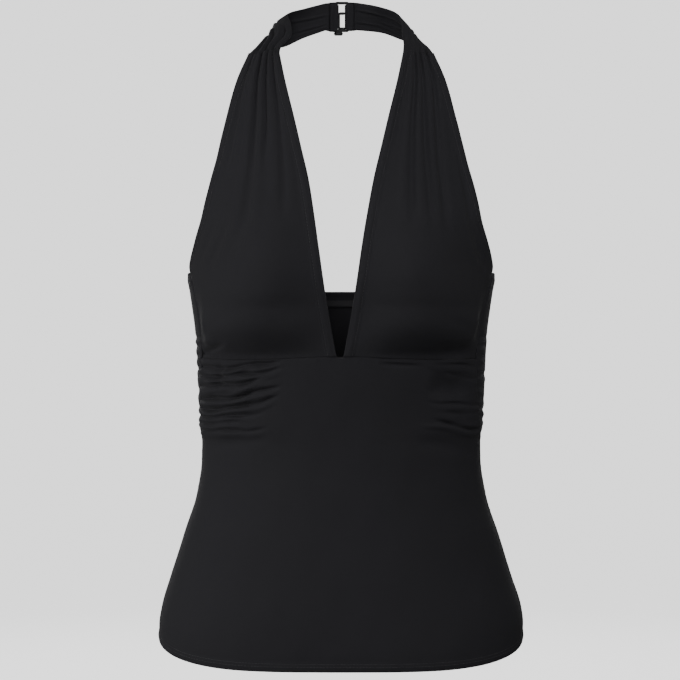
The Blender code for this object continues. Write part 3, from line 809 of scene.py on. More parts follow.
def front_sheet():
    share = spread((0.0, 0.03, 12), (0.03, 0.97, 172), (0.97, 1.0, 12))[None, :]
    nominal = spread((0.0, 12.0, 16), (12.0, 190.0, 70), (190.0, 276.0, 92), (276.0, 280.0, 8))
    nominal = nominal[:, None]
    right, left = -edge_turn("right", nominal), edge_turn("left", nominal)
    turn = right + (left - right) * share
    shift = underbust_height(turn) - 0.5 * SEAM_GAP - UNDERBUST
    x = body_point(turn, UNDERBUST)[..., 0]
    shift = shift - V_FOOT * bump((x + NECKLINE_ASIDE.at("aside", UNDERBUST)) / V_FOOT_REACH)
    height = shaped_height(nominal, turn, shift)
    limits = {}
    for side in ("left", "right"):
        limit = edge_turn(side, height)
        limits[side] = limit - gap_turn(limit, height)
    turn = np.where(turn > 0.0, turn * limits["left"] / left, turn * limits["right"] / -right)
    sheet = Sheet("front_body_cloth", body_point(turn, height), body_normal(turn, height))
    x = sheet.points[..., 0]
    for side in ("left", "right"):
        seam_out = body_point(limits[side], height)[..., 0]
        here = ruching_relief(side, np.abs(x), seam_out, height)
        sheet.relief += np.where((x > 0.0) == (side == "left"), here, 0.0)
    for row in CREASES["front_body"]:
        sheet.relief += crease(x, height, row)
    sheet.relief += unevenness(x, height, 0.4)
    sheet.relief -= hollow(sheet, "top")
    turn_edge(sheet, "bottom", HEM_TURNING, HEM_STITCHES, HEM_REACH)
    sew_edge(sheet, "top", SHALLOW_DIP, 1.0)
    sew_edge(sheet, "start", SEAM_DIP, 2.0)
    sew_edge(sheet, "end", SEAM_DIP, 3.0)
    return sheet


def back_ruching(turn, height):
    """Short folds that the ruched side seams draw into the back."""
    dice = np.random.default_rng(5)
    low, high = BACK_RUCHED
    relief = np.zeros(turn.shape)
    for side, seam in (("left", edge_turn("left", height)), ("right", edge_turn("right", height))):
        away = (turn - seam if side == "left" else 2.0 * np.pi - seam - turn) * radius(turn, height)
        for k in range(BACK_RUCHING):
            start = low + (high - low) * (k + 0.5 + dice.uniform(-0.3, 0.3)) / BACK_RUCHING
            length = BACK_RUCHING_LENGTH * dice.uniform(0.5, 1.5)
            slope = dice.uniform(-0.05, 0.22)
            depth = dice.uniform(0.6, 1.5)
            run = away / length
            fall = (height - start + slope * away) / BACK_RUCHING_REACH
            fade = (0.5 + 0.5 * smooth(run / 0.15)) * (1.0 - smooth((run - 0.3) / 0.7))
            relief += depth * fade * (0.4 * bump(fall + 1.4) - bump(fall))
    return relief


def back_sheet():
    share = spread((0.0, 0.03, 10), (0.03, 0.97, 150), (0.97, 1.0, 10))[None, :]
    nominal = spread((0.0, 12.0, 16), (12.0, 186.0, 62), (186.0, 316.0, 76), (316.0, 334.0, 24))
    nominal = nominal[:, None]
    turn = np.pi * (0.5 + share)
    height = shaped_height(nominal, turn, back_top_height(turn) - BACK_TOP)
    start, end = edge_turn("left", height), edge_turn("right", height)
    start = start + gap_turn(start, height)
    end = 2.0 * np.pi - end - gap_turn(end, height)
    turn = start + (end - start) * share
    sheet = Sheet("back_panel_cloth", body_point(turn, height), body_normal(turn, height))
    x = sheet.points[..., 0]
    behind = smooth(sheet.points[..., 1] / BACK_BEHIND)
    for row in BACK_FOLDS:
        sheet.relief += crease(x, height, row) * behind
    sheet.relief += back_ruching(turn, height)
    sheet.relief += unevenness(x, height, 1.3) * behind
    turn_edge(sheet, "bottom", HEM_TURNING, HEM_STITCHES, HEM_REACH)
    turn_edge(sheet, "top", BACK_TURNING, BACK_STITCHES, BACK_REACH)
    sheet.lining += TOP_CURL * (1.0 - smooth(sheet.away["top"] / CURL_REACH))
    corner = bump(sheet.away["start"][-1] / CORNER_TUCK) + bump(sheet.away["end"][-1] / CORNER_TUCK)
    sheet.reach[-1] -= (BACK_REACH + CORNER_DROP) * corner
    sink, sink_reach = CORNER_SINK
    sheet.relief -= sink * corner * (1.0 - smooth(sheet.away["top"] / sink_reach))
    run, (slow, quick) = sheet.away["start"], ELASTIC_LENGTHS
    elastic = np.sin(2.0 * np.pi * run / slow) + np.sin(run / quick)
    below = bump((sheet.away["top"] - BACK_TURNING - 1.0) / ELASTIC[1])
    sheet.relief += ELASTIC[0] * elastic * below
    sew_edge(sheet, "start", SEAM_DIP, 4.0)
    sew_edge(sheet, "end", SEAM_DIP, 5.0)
    return sheet


def cup_station(side, share, height):
    """The turn on a cup at a share of the way from its neckline to its outer edge."""
    flip = 1.0 if side == "left" else -1.0
    aside = NECKLINE_ASIDE.at("aside", height)
    inner = turn_at_x(NECKLINE.at("out", height) - flip * aside, height)
    outer = edge_turn(side, height)
    outer = outer - np.where(np.asarray(height) <= UNDERARM, gap_turn(outer, height), 0.0)
    return (inner + (outer - inner) * share) * flip


def cup_sheet(side):
    share = spread((0.0, 0.08, 18), (0.08, 0.92, 92), (0.92, 1.0, 18))[None, :]
    rise = spread((0.0, 0.03, 8), (0.03, 0.28, 54), (0.28, 0.97, 126), (0.97, 1.0, 10))[:, None]
    foot = underbust_height(cup_station(side, share, UNDERBUST)) + 0.5 * SEAM_GAP
    corner = (UNDERARM - UNDERBUST) / (CUP_TOP - UNDERBUST)
    low = foot + (UNDERARM - foot) * rise / corner
    high = UNDERARM + (CUP_TOP - UNDERARM) * (rise - corner) / (1.0 - corner)
    height = np.where(rise <= corner, low, high)
    share = np.broadcast_to(share, height.shape)
    turn = cup_station(side, share, height)
    sheet = Sheet(side + "_cup_cloth", body_point(turn, height), body_normal(turn, height))
    sheet.relief += gather_relief(side, share, height)
    x = sheet.points[..., 0]
    for row in CREASES[side + "_cup"]:
        sheet.relief += crease(x, height, row)
    sheet.relief -= hollow(sheet, "bottom")
    puff_x, puff_height, puff_reach, puff = OUTER_PUFF
    away = np.hypot(np.abs(x) - puff_x, height - puff_height)
    off_seam = smooth(sheet.away["end"] / PUFF_FADE)
    sheet.relief += puff * bump(away / puff_reach) * off_seam
    foot_height, foot_reach, foot_puff = LOWER_PUFF
    foot = foot_puff * bump((height - foot_height) / foot_reach)
    sheet.relief += foot * off_seam * smooth(sheet.away["start"] / LOWER_PUFF_FADE)
    below_neck = smooth((CUP_TOP - height) / 60.0)
    sheet.relief += unevenness(x, height, 2.1) * below_neck
    turn_edge(sheet, "start", EDGE_TURNING, EDGE_STITCHES, NECKLINE_REACH)
    armhole = smooth((height - UNDERARM + 4.0) / 8.0)
    turn_edge(sheet, "end", EDGE_TURNING, EDGE_STITCHES, ARMHOLE_REACH, armhole)
    sew_edge(sheet, "end", SEAM_DIP, 6.0, 1.0 - armhole)
    sew_edge(sheet, "bottom", SHALLOW_DIP, 7.0)
    sew_edge(sheet, "top", SHALLOW_DIP, 8.0)
    return sheet


def spline(points, t):
    """A point on the smooth curve through the points, t counting them from 0."""
    i = min(int(t), len(points) - 2)
    t -= i
    before = points[max(i - 1, 0)]
    a, b = points[i], points[i + 1]
    after = points[min(i + 2, len(points) - 1)]
    return 0.5 * (2.0 * a + (b - before) * t + (2.0 * before - 5.0 * a + 4.0 * b - after) * t * t
                  + (3.0 * a - before - 3.0 * b + after) * t * t * t)


LOOP_SLACK = {"left": 0.9, "right": 0.4}    # how far each loop reaches into the gap
# How much further up and down each band reaches outside the clasp than the CAD's.
END_FLARE = {"left": (2.4, 1.9), "right": (2.4, 2.9)}
FLARE_SPAN = (0.75, 0.25)   # sine of the loop's angle where the flare starts, and its length
NEAR_STEPS = 4


def band_end_path(side):
    """The folded end from above: along the band's layer, round the upright and back again."""
    before, after = END_STRAIGHT
    path = [(UPRIGHT_X + before, END_Y, 1.0)]
    reach = HOLD + LOOP_SLACK[side]
    for i in range(LOOP_STEPS + 1):
        angle = math.pi * (0.5 + i / LOOP_STEPS)
        beside = float(smooth((abs(math.sin(angle)) - FLARE_SPAN[0]) / FLARE_SPAN[1]))
        x = UPRIGHT_X + reach * math.cos(angle)
        path.append((x, END_Y - HOLD + HOLD * math.sin(angle), beside))
    path.append((UPRIGHT_X + UPRIGHT_SIZE, END_Y - 2.0 * HOLD, 1.0))
    near = END_Y - WALL - SEAM_GAP
    for i in range(NEAR_STEPS + 1):
        path.append((TURN_BACK - after + after * i / NEAR_STEPS, near, 1.0))
    return path


BAND_COLUMNS = 44
BAND_STEPS = 22
BAND_CLOTH = 1.6       # the band is a flattened tube of jersey
BAND_REACH = 0.3
INTO_CUP = 1.3         # stretch over which a band takes on its cup's gathers and edges
BAND_ROWS = (1.2, 3.6)   # from the folded end's edge to each row of stitches across it

# Folds along a neck band: where each starts and ends along it and across it, and how deep.
BAND_FOLD_COLUMNS = "start end start_share end_share depth reach"
BAND_FOLDS = {
    "left": (
        (0, 3.4, 0.22, 0.30, 0.8, 0.10),
        (0, 4.6, 0.50, 0.42, 0.9, 0.11),
        (0.2, 3, 0.78, 0.62, 0.8, 0.10),
        (2.4, 5.2, 0.66, 0.60, 1.3, 0.08),
        (3.6, 6.4, 0.78, 0.70, 0.9, 0.07),
        (3.4, 6.4, 0.36, 0.26, 1, 0.07)),
    "right": (
        (0.4, 3.1, 0.30, 0.22, 3, 0.10),
        (0.2, 3.5, 0.54, 0.60, 2.4, 0.08),
        (0.3, 3.2, 0.80, 0.84, 2.2, 0.08),
        (3.2, 6.3, 0.64, 0.76, 1, 0.08),
        (3, 6.4, 0.30, 0.44, 1, 0.07),
        (4.4, 6.4, 0.84, 0.88, 0.8, 0.06)),
}


def band_relief(side, t, share):
    relief = np.zeros(np.broadcast(t, share).shape)
    for fold in rows_of(BAND_FOLD_COLUMNS, BAND_FOLDS[side]):
        run = (t - fold["start"]) / (fold["end"] - fold["start"])
        centre = fold["start_share"] + (fold["end_share"] - fold["start_share"]) * smooth(run)
        strength = smooth((run + 0.05) / 0.2) * smooth((1.0 - run) / 0.3)
        away = (share - centre) / fold["reach"]
        relief -= fold["depth"] * strength * (bump(away) - 0.35 * bump(away - 1.3))
    into_cup = 1.0 - smooth(t / INTO_CUP)
    relief += into_cup * gather_relief(side, share, CUP_TOP)
    return relief - 0.5 * (BAND_CLOTH - CLOTH) * into_cup


def band_sheet(side):
    flip = 1.0 if side == "left" else -1.0
    shares = np.linspace(0.0, 1.0, BAND_COLUMNS + 1)
    top = np.full_like(shares, CUP_TOP)
    turn = cup_station(side, shares, top)
    seam = body_point(turn, top)
    seam = seam + unit(body_point(turn, top + 1.0) - body_point(turn, top - 1.0)) * SEAM_GAP
    neck, outer, swells = [seam[0]], [seam[-1]], [0.0]
    for row in rows_of(BAND_COLUMNS_READ, BANDS[side]):
        neck.append(np.array((flip * row["neck_x"], row["neck_y"], row["neck_height"])))
        outer.append(np.array((flip * row["outer_x"], row["outer_y"], row["outer_height"])))
        swells.append(row["swell"])
    stations = [i / BAND_STEPS for i in range(BAND_STEPS * (len(neck) - 1) + 1)]
    lines = [(spline(neck, t), spline(outer, t), spline(swells, t)) for t in stations]
    for out, y, flare in band_end_path(side):
        x = CLASP_X + flip * out
        above, below = END_FLARE[side]
        top_z, low_z = END_TOP + flare * above, END_BOTTOM - flare * below
        lines.append((np.array((x, y, top_z)), np.array((x, y, low_z)), 0.0))
        stations.append(float(len(neck)))
    t, share = np.array(stations)[:, None], shares[None, :]
    arc = seam - (seam[:1] * (1.0 - share.T) + seam[-1:] * share.T)
    blend = np.maximum(1.0 - t, 0.0)[..., None]
    grid = np.array([a * (1.0 - share.T) + b * share.T for a, b, _ in lines]) + arc * blend
    normals = unit(np.cross(np.gradient(grid, axis=1), np.gradient(grid, axis=0))) * flip
    normals[0] = body_normal(turn, top)
    swell = np.array([line[2] for line in lines])[:, None] * 4.0 * share * (1.0 - share)
    points = grid + normals * swell[..., None]
    sheet = Sheet("neck_band_" + side + "_cloth", points, normals, BAND_CLOTH)
    sheet.relief += band_relief(side, t, share)
    for edge in ("start", "end"):
        turn_edge(sheet, edge, EDGE_TURNING, (), BAND_REACH, 1.0 - smooth(t / INTO_CUP))
    sew_edge(sheet, "bottom", SHALLOW_DIP, 8.0)
    return sheet


# ---- seam allowances

ALLOWANCE = 7.0        # breadth of the overlocked seam allowances inside
ALLOWANCE_CLOTH = 1.0
ALLOWANCE_OVER = 1.1   # how far one reaches over the gap of its seam
ALLOWANCE_RIPPLE = 0.22
RIPPLE_LENGTH = 17.0
STRIP_LIFT = 0.12      # between a strip and the panel that it lies on
OVERLOCK_BREADTH = 3.4
OVERLOCK_BEYOND = 0.5
OVERLOCK_THICKNESS = 0.7


def strip_sheet(sheet, edge, name, distances, cloth, ripple):
    """A strip that lies on the inside of a sheet along one of its edges."""
    under = from_edge(sheet, sheet.inside(), edge, distances)
    inwards = -unit(from_edge(sheet, sheet.normals, edge, np.maximum(distances, 0.0)))
    run = np.linalg.norm(np.diff(under[2], axis=0), axis=-1)
    run = np.concatenate(([0.0], np.cumsum(run)))[None, :]
    wave = ripple * (1.0 + np.sin(2.0 * np.pi * run / RIPPLE_LENGTH))
    wave = wave * smooth(distances / distances[-1])[:, None]
    middle = under + inwards * (0.5 * cloth + STRIP_LIFT + wave)[..., None]
    strip = Sheet(name, middle, inwards, cloth)
    strip.uv = np.stack(np.broadcast_arrays(run, distances[:, None]), -1) * MM
    return strip


def allowance_sheet(sheet, edge, name):
    """The turned-in edges of a seam, overlocked together and pressed to one side."""
    distances = np.concatenate(([-ALLOWANCE_OVER, 0.0], np.linspace(1.0, ALLOWANCE, 8)))
    return strip_sheet(sheet, edge, name, distances, ALLOWANCE_CLOTH, ALLOWANCE_RIPPLE)


def overlocked_end(sheet, edge, name, turning, broader=1.0):
    """The threads over the raw end of a turned edge, inside."""
    distances = np.linspace(turning - broader * OVERLOCK_BREADTH, turning + OVERLOCK_BEYOND, 7)
    return strip_sheet(sheet, edge, name, distances, OVERLOCK_THICKNESS, 0.0)


# ---- stitches

STITCH = 2.6
STITCH_GAP = 0.5
ROW_END = 0.5          # bare stretch at each end of a row
THREAD = 0.34
STITCH_STATIONS = np.array((0.0, 0.3, 0.7, 1.0))
STITCH_SIZE = np.array((0.45, 1.0, 1.0, 0.45))
STITCH_LIFT = np.array((-0.10, 0.10, 0.10, -0.10))
THREAD_SIDES = 6


def stitch_row(points, normals):
    """Short runs of thread along a path on the cloth, as vertices and faces."""
    length = np.concatenate(([0.0], np.cumsum(np.linalg.norm(np.diff(points, axis=0), axis=-1))))
    starts = np.arange(ROW_END, length[-1] - STITCH - ROW_END, STITCH + STITCH_GAP)
    where = starts[:, None] + STITCH * STITCH_STATIONS[None, :]
    place = np.stack([np.interp(where, length, points[:, k]) for k in range(3)], -1)
    out = unit(np.stack([np.interp(where, length, normals[:, k]) for k in range(3)], -1))
    along = unit(np.gradient(place, axis=1))
    aside = np.cross(along, out)
    place = place + out * STITCH_LIFT[None, :, None]
    turns = 2.0 * np.pi * np.arange(THREAD_SIDES) / THREAD_SIDES
    size = 0.5 * THREAD * STITCH_SIZE[None, :, None, None]
    ring = np.cos(turns)[:, None] * out[:, :, None] + np.sin(turns)[:, None] * aside[:, :, None]
    vertices = (place[:, :, None] + size * ring).reshape(-1, 3)
    count = len(STITCH_STATIONS)
    grid = np.arange(len(starts) * count * THREAD_SIDES).reshape(len(starts), count, THREAD_SIDES)
    near, far = grid[:, :-1], grid[:, 1:]
    sides = np.stack((near, np.roll(near, -1, 2), np.roll(far, -1, 2), far), -1).reshape(-1, 4)
    caps = [grid[:, 0, [0, 3, 2, 1]], grid[:, 0, [0, 5, 4, 3]],
            grid[:, -1, [0, 1, 2, 3]], grid[:, -1, [0, 3, 4, 5]]]
    return vertices, np.concatenate([sides] + caps)


def stitches(name, rows, paint):
    made = mesh_object(name, *joined([stitch_row(*row) for row in rows]), paint)
    return made


def face_rows(sheet, edge, distances, first=0, last=None):
    """Paths on a sheet's face at distances from one of its edges, for stitches."""
    points = from_edge(sheet, sheet.face(), edge, np.array(distances))
    normals = from_edge(sheet, sheet.normals, edge, np.array(distances))
    return [(points[i, first:last], normals[i, first:last]) for i in range(len(distances))]


def band_end_rows(sheet, side):
    """Two rows of stitches across a band, through its folded end."""
    face = sheet.face()
    x = np.abs(face[:, 0, 0] - CLASP_X)
    layer = np.arange(len(x)) < len(x) - len(band_end_path(side))
    found = []
    for out in (TURN_BACK - inset for inset in BAND_ROWS):
        i = np.argmin(np.where(layer, np.abs(x - out), 1e9))
        found.append((face[i, 2:-2], sheet.normals[i, 2:-2]))
    return found


# ---- the clasp

# FOOT, FINGER and the hook's span and post are the CAD's. RUNG is 2.2 there.
RUNG = 2.8             # height of the frame's level bars and of the hook's finger
FOOT = 3.6             # height of the foot below the frame
FOOT_OVERLAP = 0.3     # half of how far it goes into the lower rung
FOOT_BESIDE = 1.2      # how far it lies to the side, as a share of UPRIGHT_SIZE
FINGER = 615.7         # height of the finger's middle
HOOK_SPAN = (-3.3, 2.9)   # from the back of the hook to the tip of its finger
HOOK_POST = 2.0        # breadth of the hook's upright
HOOK_CORNER = 1.2      # radius of its corner, over which it grows to the finger
CLASP_DEPTH = 1.6
CORNER = 1.5           # radius of the clasp's corners, to the middle of its wire
CORNER_STEPS = 8
BAR_STEPS = 8
TIP_STEPS = 6
TIP_THINNEST = 0.03    # least square of a tip's size, as a share of the bar's
TIP_DEPTH = 0.4        # share of the depth that does not narrow towards a tip
SECTION = 14           # corners round a bar
SQUARENESS = 3.2       # of a bar's section, where 2 is round
POST_ASIDE = 0.6       # the hook's upright lies against the loop beside it
BASE = 3.6             # height of the hook's base, on the frame's lower rung
BASE_RISE = 0.2        # of its middle above the rung's upper edge
BASE_BEYOND = 1.0      # how far it reaches past the hook's tip


def rounded_path(corners, corner_radius, closed):
    """A path in the clasp's plane, as x and height, with its corners rounded."""
    corners = [np.array(corner) for corner in corners]
    path = []
    for i, here in enumerate(corners):
        if not closed and i in (0, len(corners) - 1):
            path.append(here)
            continue
        back = unit(corners[i - 1] - here)
        ahead = unit(corners[(i + 1) % len(corners)] - here)
        for k in range(CORNER_STEPS + 1):
            angle = 0.5 * math.pi * k / CORNER_STEPS
            path.append(here + corner_radius * (back * (1.0 - math.sin(angle))
                                                + ahead * (1.0 - math.cos(angle))))
    return np.array(path)


def wire(path, widths, closed):
    """A rounded bar along a path in the clasp's plane, with rounded ends where it is open."""
    if closed:
        along = unit(np.roll(path, -1, 0) - np.roll(path, 1, 0))
        depths = np.full(len(path), CLASP_DEPTH)
    else:
        path, along, widths, depths = rounded_ends(path, unit(np.gradient(path, axis=0)), widths)
    turns = 2.0 * np.pi * (np.arange(SECTION) + 0.5) / SECTION
    side, deep = np.cos(turns), np.sin(turns)
    fuller = (np.abs(side) ** SQUARENESS + np.abs(deep) ** SQUARENESS) ** (-1.0 / SQUARENESS)
    side, deep = side * fuller, deep * fuller
    across = np.stack((-along[:, 1], along[:, 0]), -1)
    flat = path[:, None] + 0.5 * across[:, None] * widths[:, None, None] * side[None, :, None]
    y = END_Y - HOLD + 0.5 * depths[:, None] * deep[None, :]
    rings = np.stack((flat[..., 0], y, flat[..., 1]), -1)
    grid = np.arange(rings.shape[0] * SECTION).reshape(-1, SECTION)
    near, far = (grid, np.roll(grid, -1, 0)) if closed else (grid[:-1], grid[1:])
    faces = np.stack((near, far, np.roll(far, -1, 1), np.roll(near, -1, 1)), -1).reshape(-1, 4)
    vertices = rings.reshape(-1, 3)
    if closed:
        return vertices, faces
    tips = np.stack((rings[0].mean(0), rings[-1].mean(0)))
    first, last = len(vertices), len(vertices) + 1
    caps = [(grid[0, k], grid[0, (k + 1) % SECTION], grid[0, (k + 1) % SECTION], first)
            for k in range(SECTION)]
    caps += [(grid[-1, (k + 1) % SECTION], grid[-1, k], grid[-1, k], last) for k in range(SECTION)]
    return np.concatenate((vertices, tips)), np.concatenate((faces, np.array(caps)))


def rounded_ends(path, along, widths):
    """The path with more stations near its ends, where the bar narrows to a round tip."""
    steps = np.sin(0.5 * np.pi * np.linspace(0.0, 1.0, TIP_STEPS))
    size = np.sqrt(np.maximum(1.0 - (1.0 - steps) ** 2, TIP_THINNEST))
    reach = 0.5 * widths[0]
    start = path[0] + along[0] * (reach * steps[:, None])
    end = path[-1] - along[-1] * (reach * steps[::-1, None])
    path = np.concatenate((start, path[1:-1], end))
    directions = np.concatenate((np.repeat(along[:1], TIP_STEPS, 0), along[1:-1],
                                 np.repeat(along[-1:], TIP_STEPS, 0)))
    scale = np.concatenate((size, np.ones(len(along) - 2), size[::-1]))
    broad = np.concatenate((np.repeat(widths[:1], TIP_STEPS), widths[1:-1],
                            np.repeat(widths[-1:], TIP_STEPS)))
    return path, directions, broad * scale, CLASP_DEPTH * (TIP_DEPTH + (1.0 - TIP_DEPTH) * scale)


def level_bar(start, end, height, breadth):
    """One of the clasp's level bars, with round tips."""
    path = [(start + (end - start) * k / BAR_STEPS, height) for k in range(BAR_STEPS + 1)]
    return wire(np.array(path), np.full(len(path), breadth), False)


def clasp_object(paint):
    """A flat wire frame through both loops, with a foot below and a hook inside it."""
    low, high = END_BOTTOM - SEAM_GAP, END_TOP + SEAM_GAP
    bottom, top = low - 0.5 * RUNG, high + 0.5 * RUNG
    left, right = CLASP_X - UPRIGHT_X, CLASP_X + UPRIGHT_X
    ring = rounded_path(((left, bottom), (right, bottom), (right, top), (left, top)), CORNER, True)
    slope = np.abs(unit(np.roll(ring, -1, 0) - np.roll(ring, 1, 0))[:, 0])
    frame_wire = wire(ring, UPRIGHT_SIZE + (RUNG - UPRIGHT_SIZE) * slope, True)
    post = CLASP_X + HOOK_SPAN[0] + 0.5 * HOOK_POST - POST_ASIDE
    tip = CLASP_X + HOOK_SPAN[1]
    hook = rounded_path(((post, bottom), (post, FINGER), (tip, FINGER)), HOOK_CORNER, False)
    swell = np.clip((hook[:, 0] - post) / HOOK_CORNER, 0.0, 1.0)
    hook_wire = wire(hook, HOOK_POST + (RUNG - HOOK_POST) * swell, False)
    middle = bottom - 0.5 * RUNG - 0.5 * FOOT + FOOT_OVERLAP
    aside = FOOT_BESIDE * UPRIGHT_SIZE
    foot_wire = level_bar(left - aside, tip - aside, middle, FOOT + 2.0 * FOOT_OVERLAP)
    base_wire = level_bar(post, tip + BASE_BEYOND, low + BASE_RISE, BASE)
    vertices, faces = joined((frame_wire, hook_wire, foot_wire, base_wire))
    made = mesh_object("neck_clasp_wire", vertices, faces, paint)
    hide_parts("neck_clasp")


# ---- materials

WALE = 0.00072         # breadth of a column of stitches in the knit, metres
COURSE = 0.00052       # height of a row of them
ZIGZAG = 0.0021        # length of one turn of an overlock thread
ZIGZAG_LEAN = 260.0    # turns to a metre that it leans by across the edge
ZIGZAG_FROM = 0.0028   # distance from the panel's edge where the threads begin
JERSEY_COLOUR = (0.0135, 0.0131, 0.0155)
# Thread colour, lighter than the jersey's. On the overlocked edges this lightness is partly a painted
# sheen.
THREAD_COLOUR = (0.0180, 0.0176, 0.0196)
CLASP_COLOUR = (0.0100, 0.0100, 0.0110)


def node(tree, kind, **settings):
    made = tree.nodes.new(kind)
    for name, value in settings.items():
        setattr(made, name, value)
    return made


def sums(tree, operation, first, second=0.0):
    """A math node's output. Each input is a number or another output."""
    made = node(tree, "ShaderNodeMath", operation=operation)
    for socket, value in zip(made.inputs, (first, second)):
        if isinstance(value, (int, float)):
            socket.default_value = value
        else:
            tree.links.new(value, socket)
    return made.outputs[0]


def noise(tree, vector, scale, detail):
    made = node(tree, "ShaderNodeTexNoise")
    made.inputs["Scale"].default_value = scale
    made.inputs["Detail"].default_value = detail
    tree.links.new(vector, made.inputs["Vector"])
    return made.outputs["Fac"]


def between(tree, factor, low, high):
    made = node(tree, "ShaderNodeMapRange")
    made.inputs["To Min"].default_value = low
    made.inputs["To Max"].default_value = high
    tree.links.new(factor, made.inputs["Value"])
    return made.outputs["Result"]


def tinted(tree, factor, colour, spread_by):
    """The colour, a little darker or lighter by the factor."""
    made = node(tree, "ShaderNodeMix", data_type="RGBA")
    made.inputs["A"].default_value = (*[(1.0 - spread_by) * c for c in colour], 1.0)
    made.inputs["B"].default_value = (*[(1.0 + spread_by) * c for c in colour], 1.0)
    tree.links.new(factor, made.inputs["Factor"])
    return made.outputs["Result"]


def raised(tree, height, distance, strength, shader):
    made = node(tree, "ShaderNodeBump")
    made.inputs["Strength"].default_value = strength
    made.inputs["Distance"].default_value = distance
    tree.links.new(height, made.inputs["Height"])
    tree.links.new(made.outputs["Normal"], shader.inputs["Normal"])


def cloth_place(tree):
    """The two coordinates of the cloth, in metres."""
    where = node(tree, "ShaderNodeUVMap", uv_map="cloth")
    parts = node(tree, "ShaderNodeSeparateXYZ")
    tree.links.new(where.outputs["UV"], parts.inputs[0])
    return parts.outputs["X"], parts.outputs["Y"]


def vary(tree, shader, factor, colour, tint, roughness):
    """Varies a surface's colour and roughness by one factor."""
    tree.links.new(tinted(tree, factor, colour, tint), shader.inputs["Base Color"])
    tree.links.new(between(tree, factor, *roughness), shader.inputs["Roughness"])


def new_material(name):
    paint = bpy.data.materials.new(name)
    paint.use_nodes = True
    return paint, paint.node_tree, paint.node_tree.nodes["Principled BSDF"]


def knit_height(tree, wale, course):
    """The V-shaped legs of a plain knit: columns of slanting stitches."""
    along, up = cloth_place(tree)
    leg = sums(tree, "PINGPONG", sums(tree, "DIVIDE", along, wale), 0.5)
    row = sums(tree, "DIVIDE", up, course)
    slant = sums(tree, "ADD", row, sums(tree, "MULTIPLY", leg, 1.4))
    loops = sums(tree, "SINE", sums(tree, "MULTIPLY", slant, 2.0 * math.pi))
    ribs = sums(tree, "SINE", sums(tree, "MULTIPLY", leg, 2.0 * math.pi))
    return sums(tree, "ADD", sums(tree, "MULTIPLY", loops, 0.35), ribs)


def jersey_material():
    paint, tree, shader = new_material("black_jersey_knit")
    place = node(tree, "ShaderNodeTexCoord").outputs["Object"]
    fuzz = noise(tree, place, 1100.0, 3.0)
    cloud = noise(tree, place, 14.0, 4.0)
    surface = sums(tree, "ADD", knit_height(tree, WALE, COURSE), sums(tree, "MULTIPLY", fuzz, 0.8))
    raised(tree, surface, 0.00006, 0.5, shader)
    vary(tree, shader, cloud, JERSEY_COLOUR, 0.12, (0.80, 0.92))
    shader.inputs["Specular IOR Level"].default_value = 0.2
    shader.inputs["Sheen Weight"].default_value = 0.02
    shader.inputs["Sheen Roughness"].default_value = 0.5
    return paint


def overlock_material():
    """Seam allowances: jersey with the zigzag of overlock threads along the free edge. The threads
    are coloured lighter than the jersey, partly their own colour and partly a painted sheen.
    """
    paint, tree, shader = new_material("black_overlocked_jersey_painted_sheen")
    along, across = cloth_place(tree)
    lean = sums(tree, "MULTIPLY", across, ZIGZAG_LEAN)
    run = sums(tree, "ADD", sums(tree, "DIVIDE", along, ZIGZAG), lean)
    loops = sums(tree, "ABSOLUTE", sums(tree, "SINE", sums(tree, "MULTIPLY", run, math.pi)))
    edge = sums(tree, "GREATER_THAN", across, ZIGZAG_FROM)
    threads = sums(tree, "MULTIPLY", loops, edge)
    raised(tree, threads, 0.0004, 0.8, shader)
    # Where the threads lie, the colour is painted lighter: partly the threads' own colour, partly a
    # painted sheen that makes the overlocked ridges look lit.
    vary(tree, shader, threads, THREAD_COLOUR, 0.3, (0.85, 0.6))
    shader.inputs["Specular IOR Level"].default_value = 0.25
    return paint


def thread_material():
    paint, tree, shader = new_material("black_thread")
    place = node(tree, "ShaderNodeTexCoord").outputs["Object"]
    strands = noise(tree, place, 4200.0, 2.0)
    raised(tree, strands, 0.00005, 0.6, shader)
    vary(tree, shader, strands, THREAD_COLOUR, 0.25, (0.45, 0.65))
    return paint


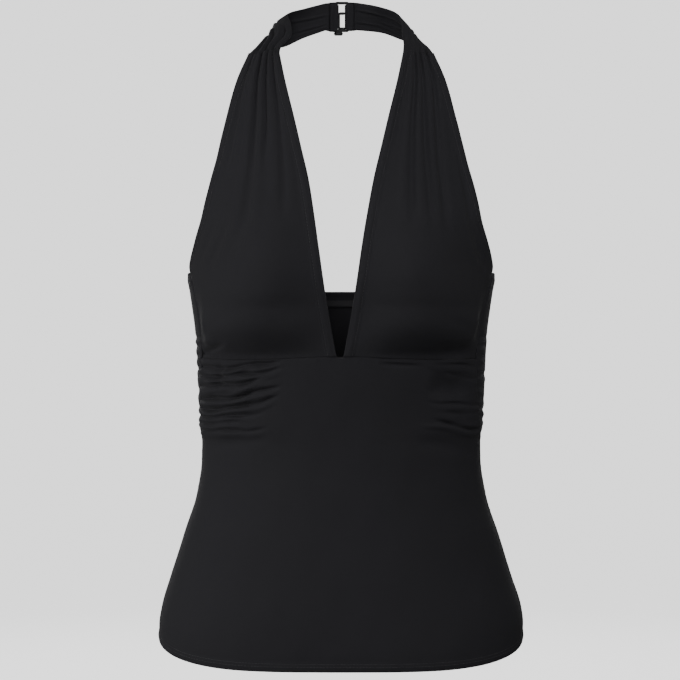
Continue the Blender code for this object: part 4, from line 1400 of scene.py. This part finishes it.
def clasp_material():
    paint, tree, shader = new_material("black_coated_metal")
    place = node(tree, "ShaderNodeTexCoord").outputs["Object"]
    grain = noise(tree, place, 1400.0, 4.0)
    worn = noise(tree, place, 160.0, 3.0)
    raised(tree, grain, 0.00002, 0.4, shader)
    vary(tree, shader, worn, CLASP_COLOUR, 0.35, (0.50, 0.62))
    shader.inputs["Specular IOR Level"].default_value = 0.2
    return paint


# ---- assembly

def dress(sheet, node_name, paint):
    """Puts a piece of cloth in the place of its plain solid."""
    piece = sheet_object(sheet, paint)
    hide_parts(node_name)


def add_strip(strip, paint):
    made = sheet_object(strip, paint)
    return made


def main():
    make_camera()
    make_lights()
    make_stage()
    knit, overlock, thread = jersey_material(), overlock_material(), thread_material()

    front = front_sheet()
    trims = [stitches("front_hem_stitches", face_rows(front, "bottom", HEM_STITCHES), thread),
             add_strip(allowance_sheet(front, "top", "underbust_seam_allowance"), overlock),
             add_strip(overlocked_end(front, "bottom", "front_hem_overlock", HEM_TURNING), overlock)]
    dress(front, "front_body", knit)

    back = back_sheet()
    rows = face_rows(back, "bottom", HEM_STITCHES) + face_rows(back, "top", BACK_STITCHES)
    trims = [stitches("back_stitches", rows, thread),
             add_strip(allowance_sheet(back, "start", "left_side_seam_allowance"), overlock),
             add_strip(allowance_sheet(back, "end", "right_side_seam_allowance"), overlock),
             add_strip(overlocked_end(back, "top", "back_top_overlock", BACK_TURNING, 2.0), overlock),
             add_strip(overlocked_end(back, "bottom", "back_hem_overlock", HEM_TURNING), overlock)]
    dress(back, "back_panel", knit)

    for side in ("left", "right"):
        cup = cup_sheet(side)
        rows = face_rows(cup, "start", EDGE_STITCHES)
        underarm = int(np.searchsorted(cup.points[:, -1, 2], UNDERARM - 3.0))
        rows += face_rows(cup, "end", EDGE_STITCHES, underarm)
        trims = [stitches(side + "_cup_stitches", rows, thread),
                 add_strip(allowance_sheet(cup, "top", side + "_neck_seam_allowance"), overlock)]
        dress(cup, side + "_cup", knit)
        band = band_sheet(side)
        trims = [stitches(side + "_band_stitches", band_end_rows(band, side), thread)]
        dress(band, "neck_band_" + side, knit)

    clasp_object(clasp_material())


main()
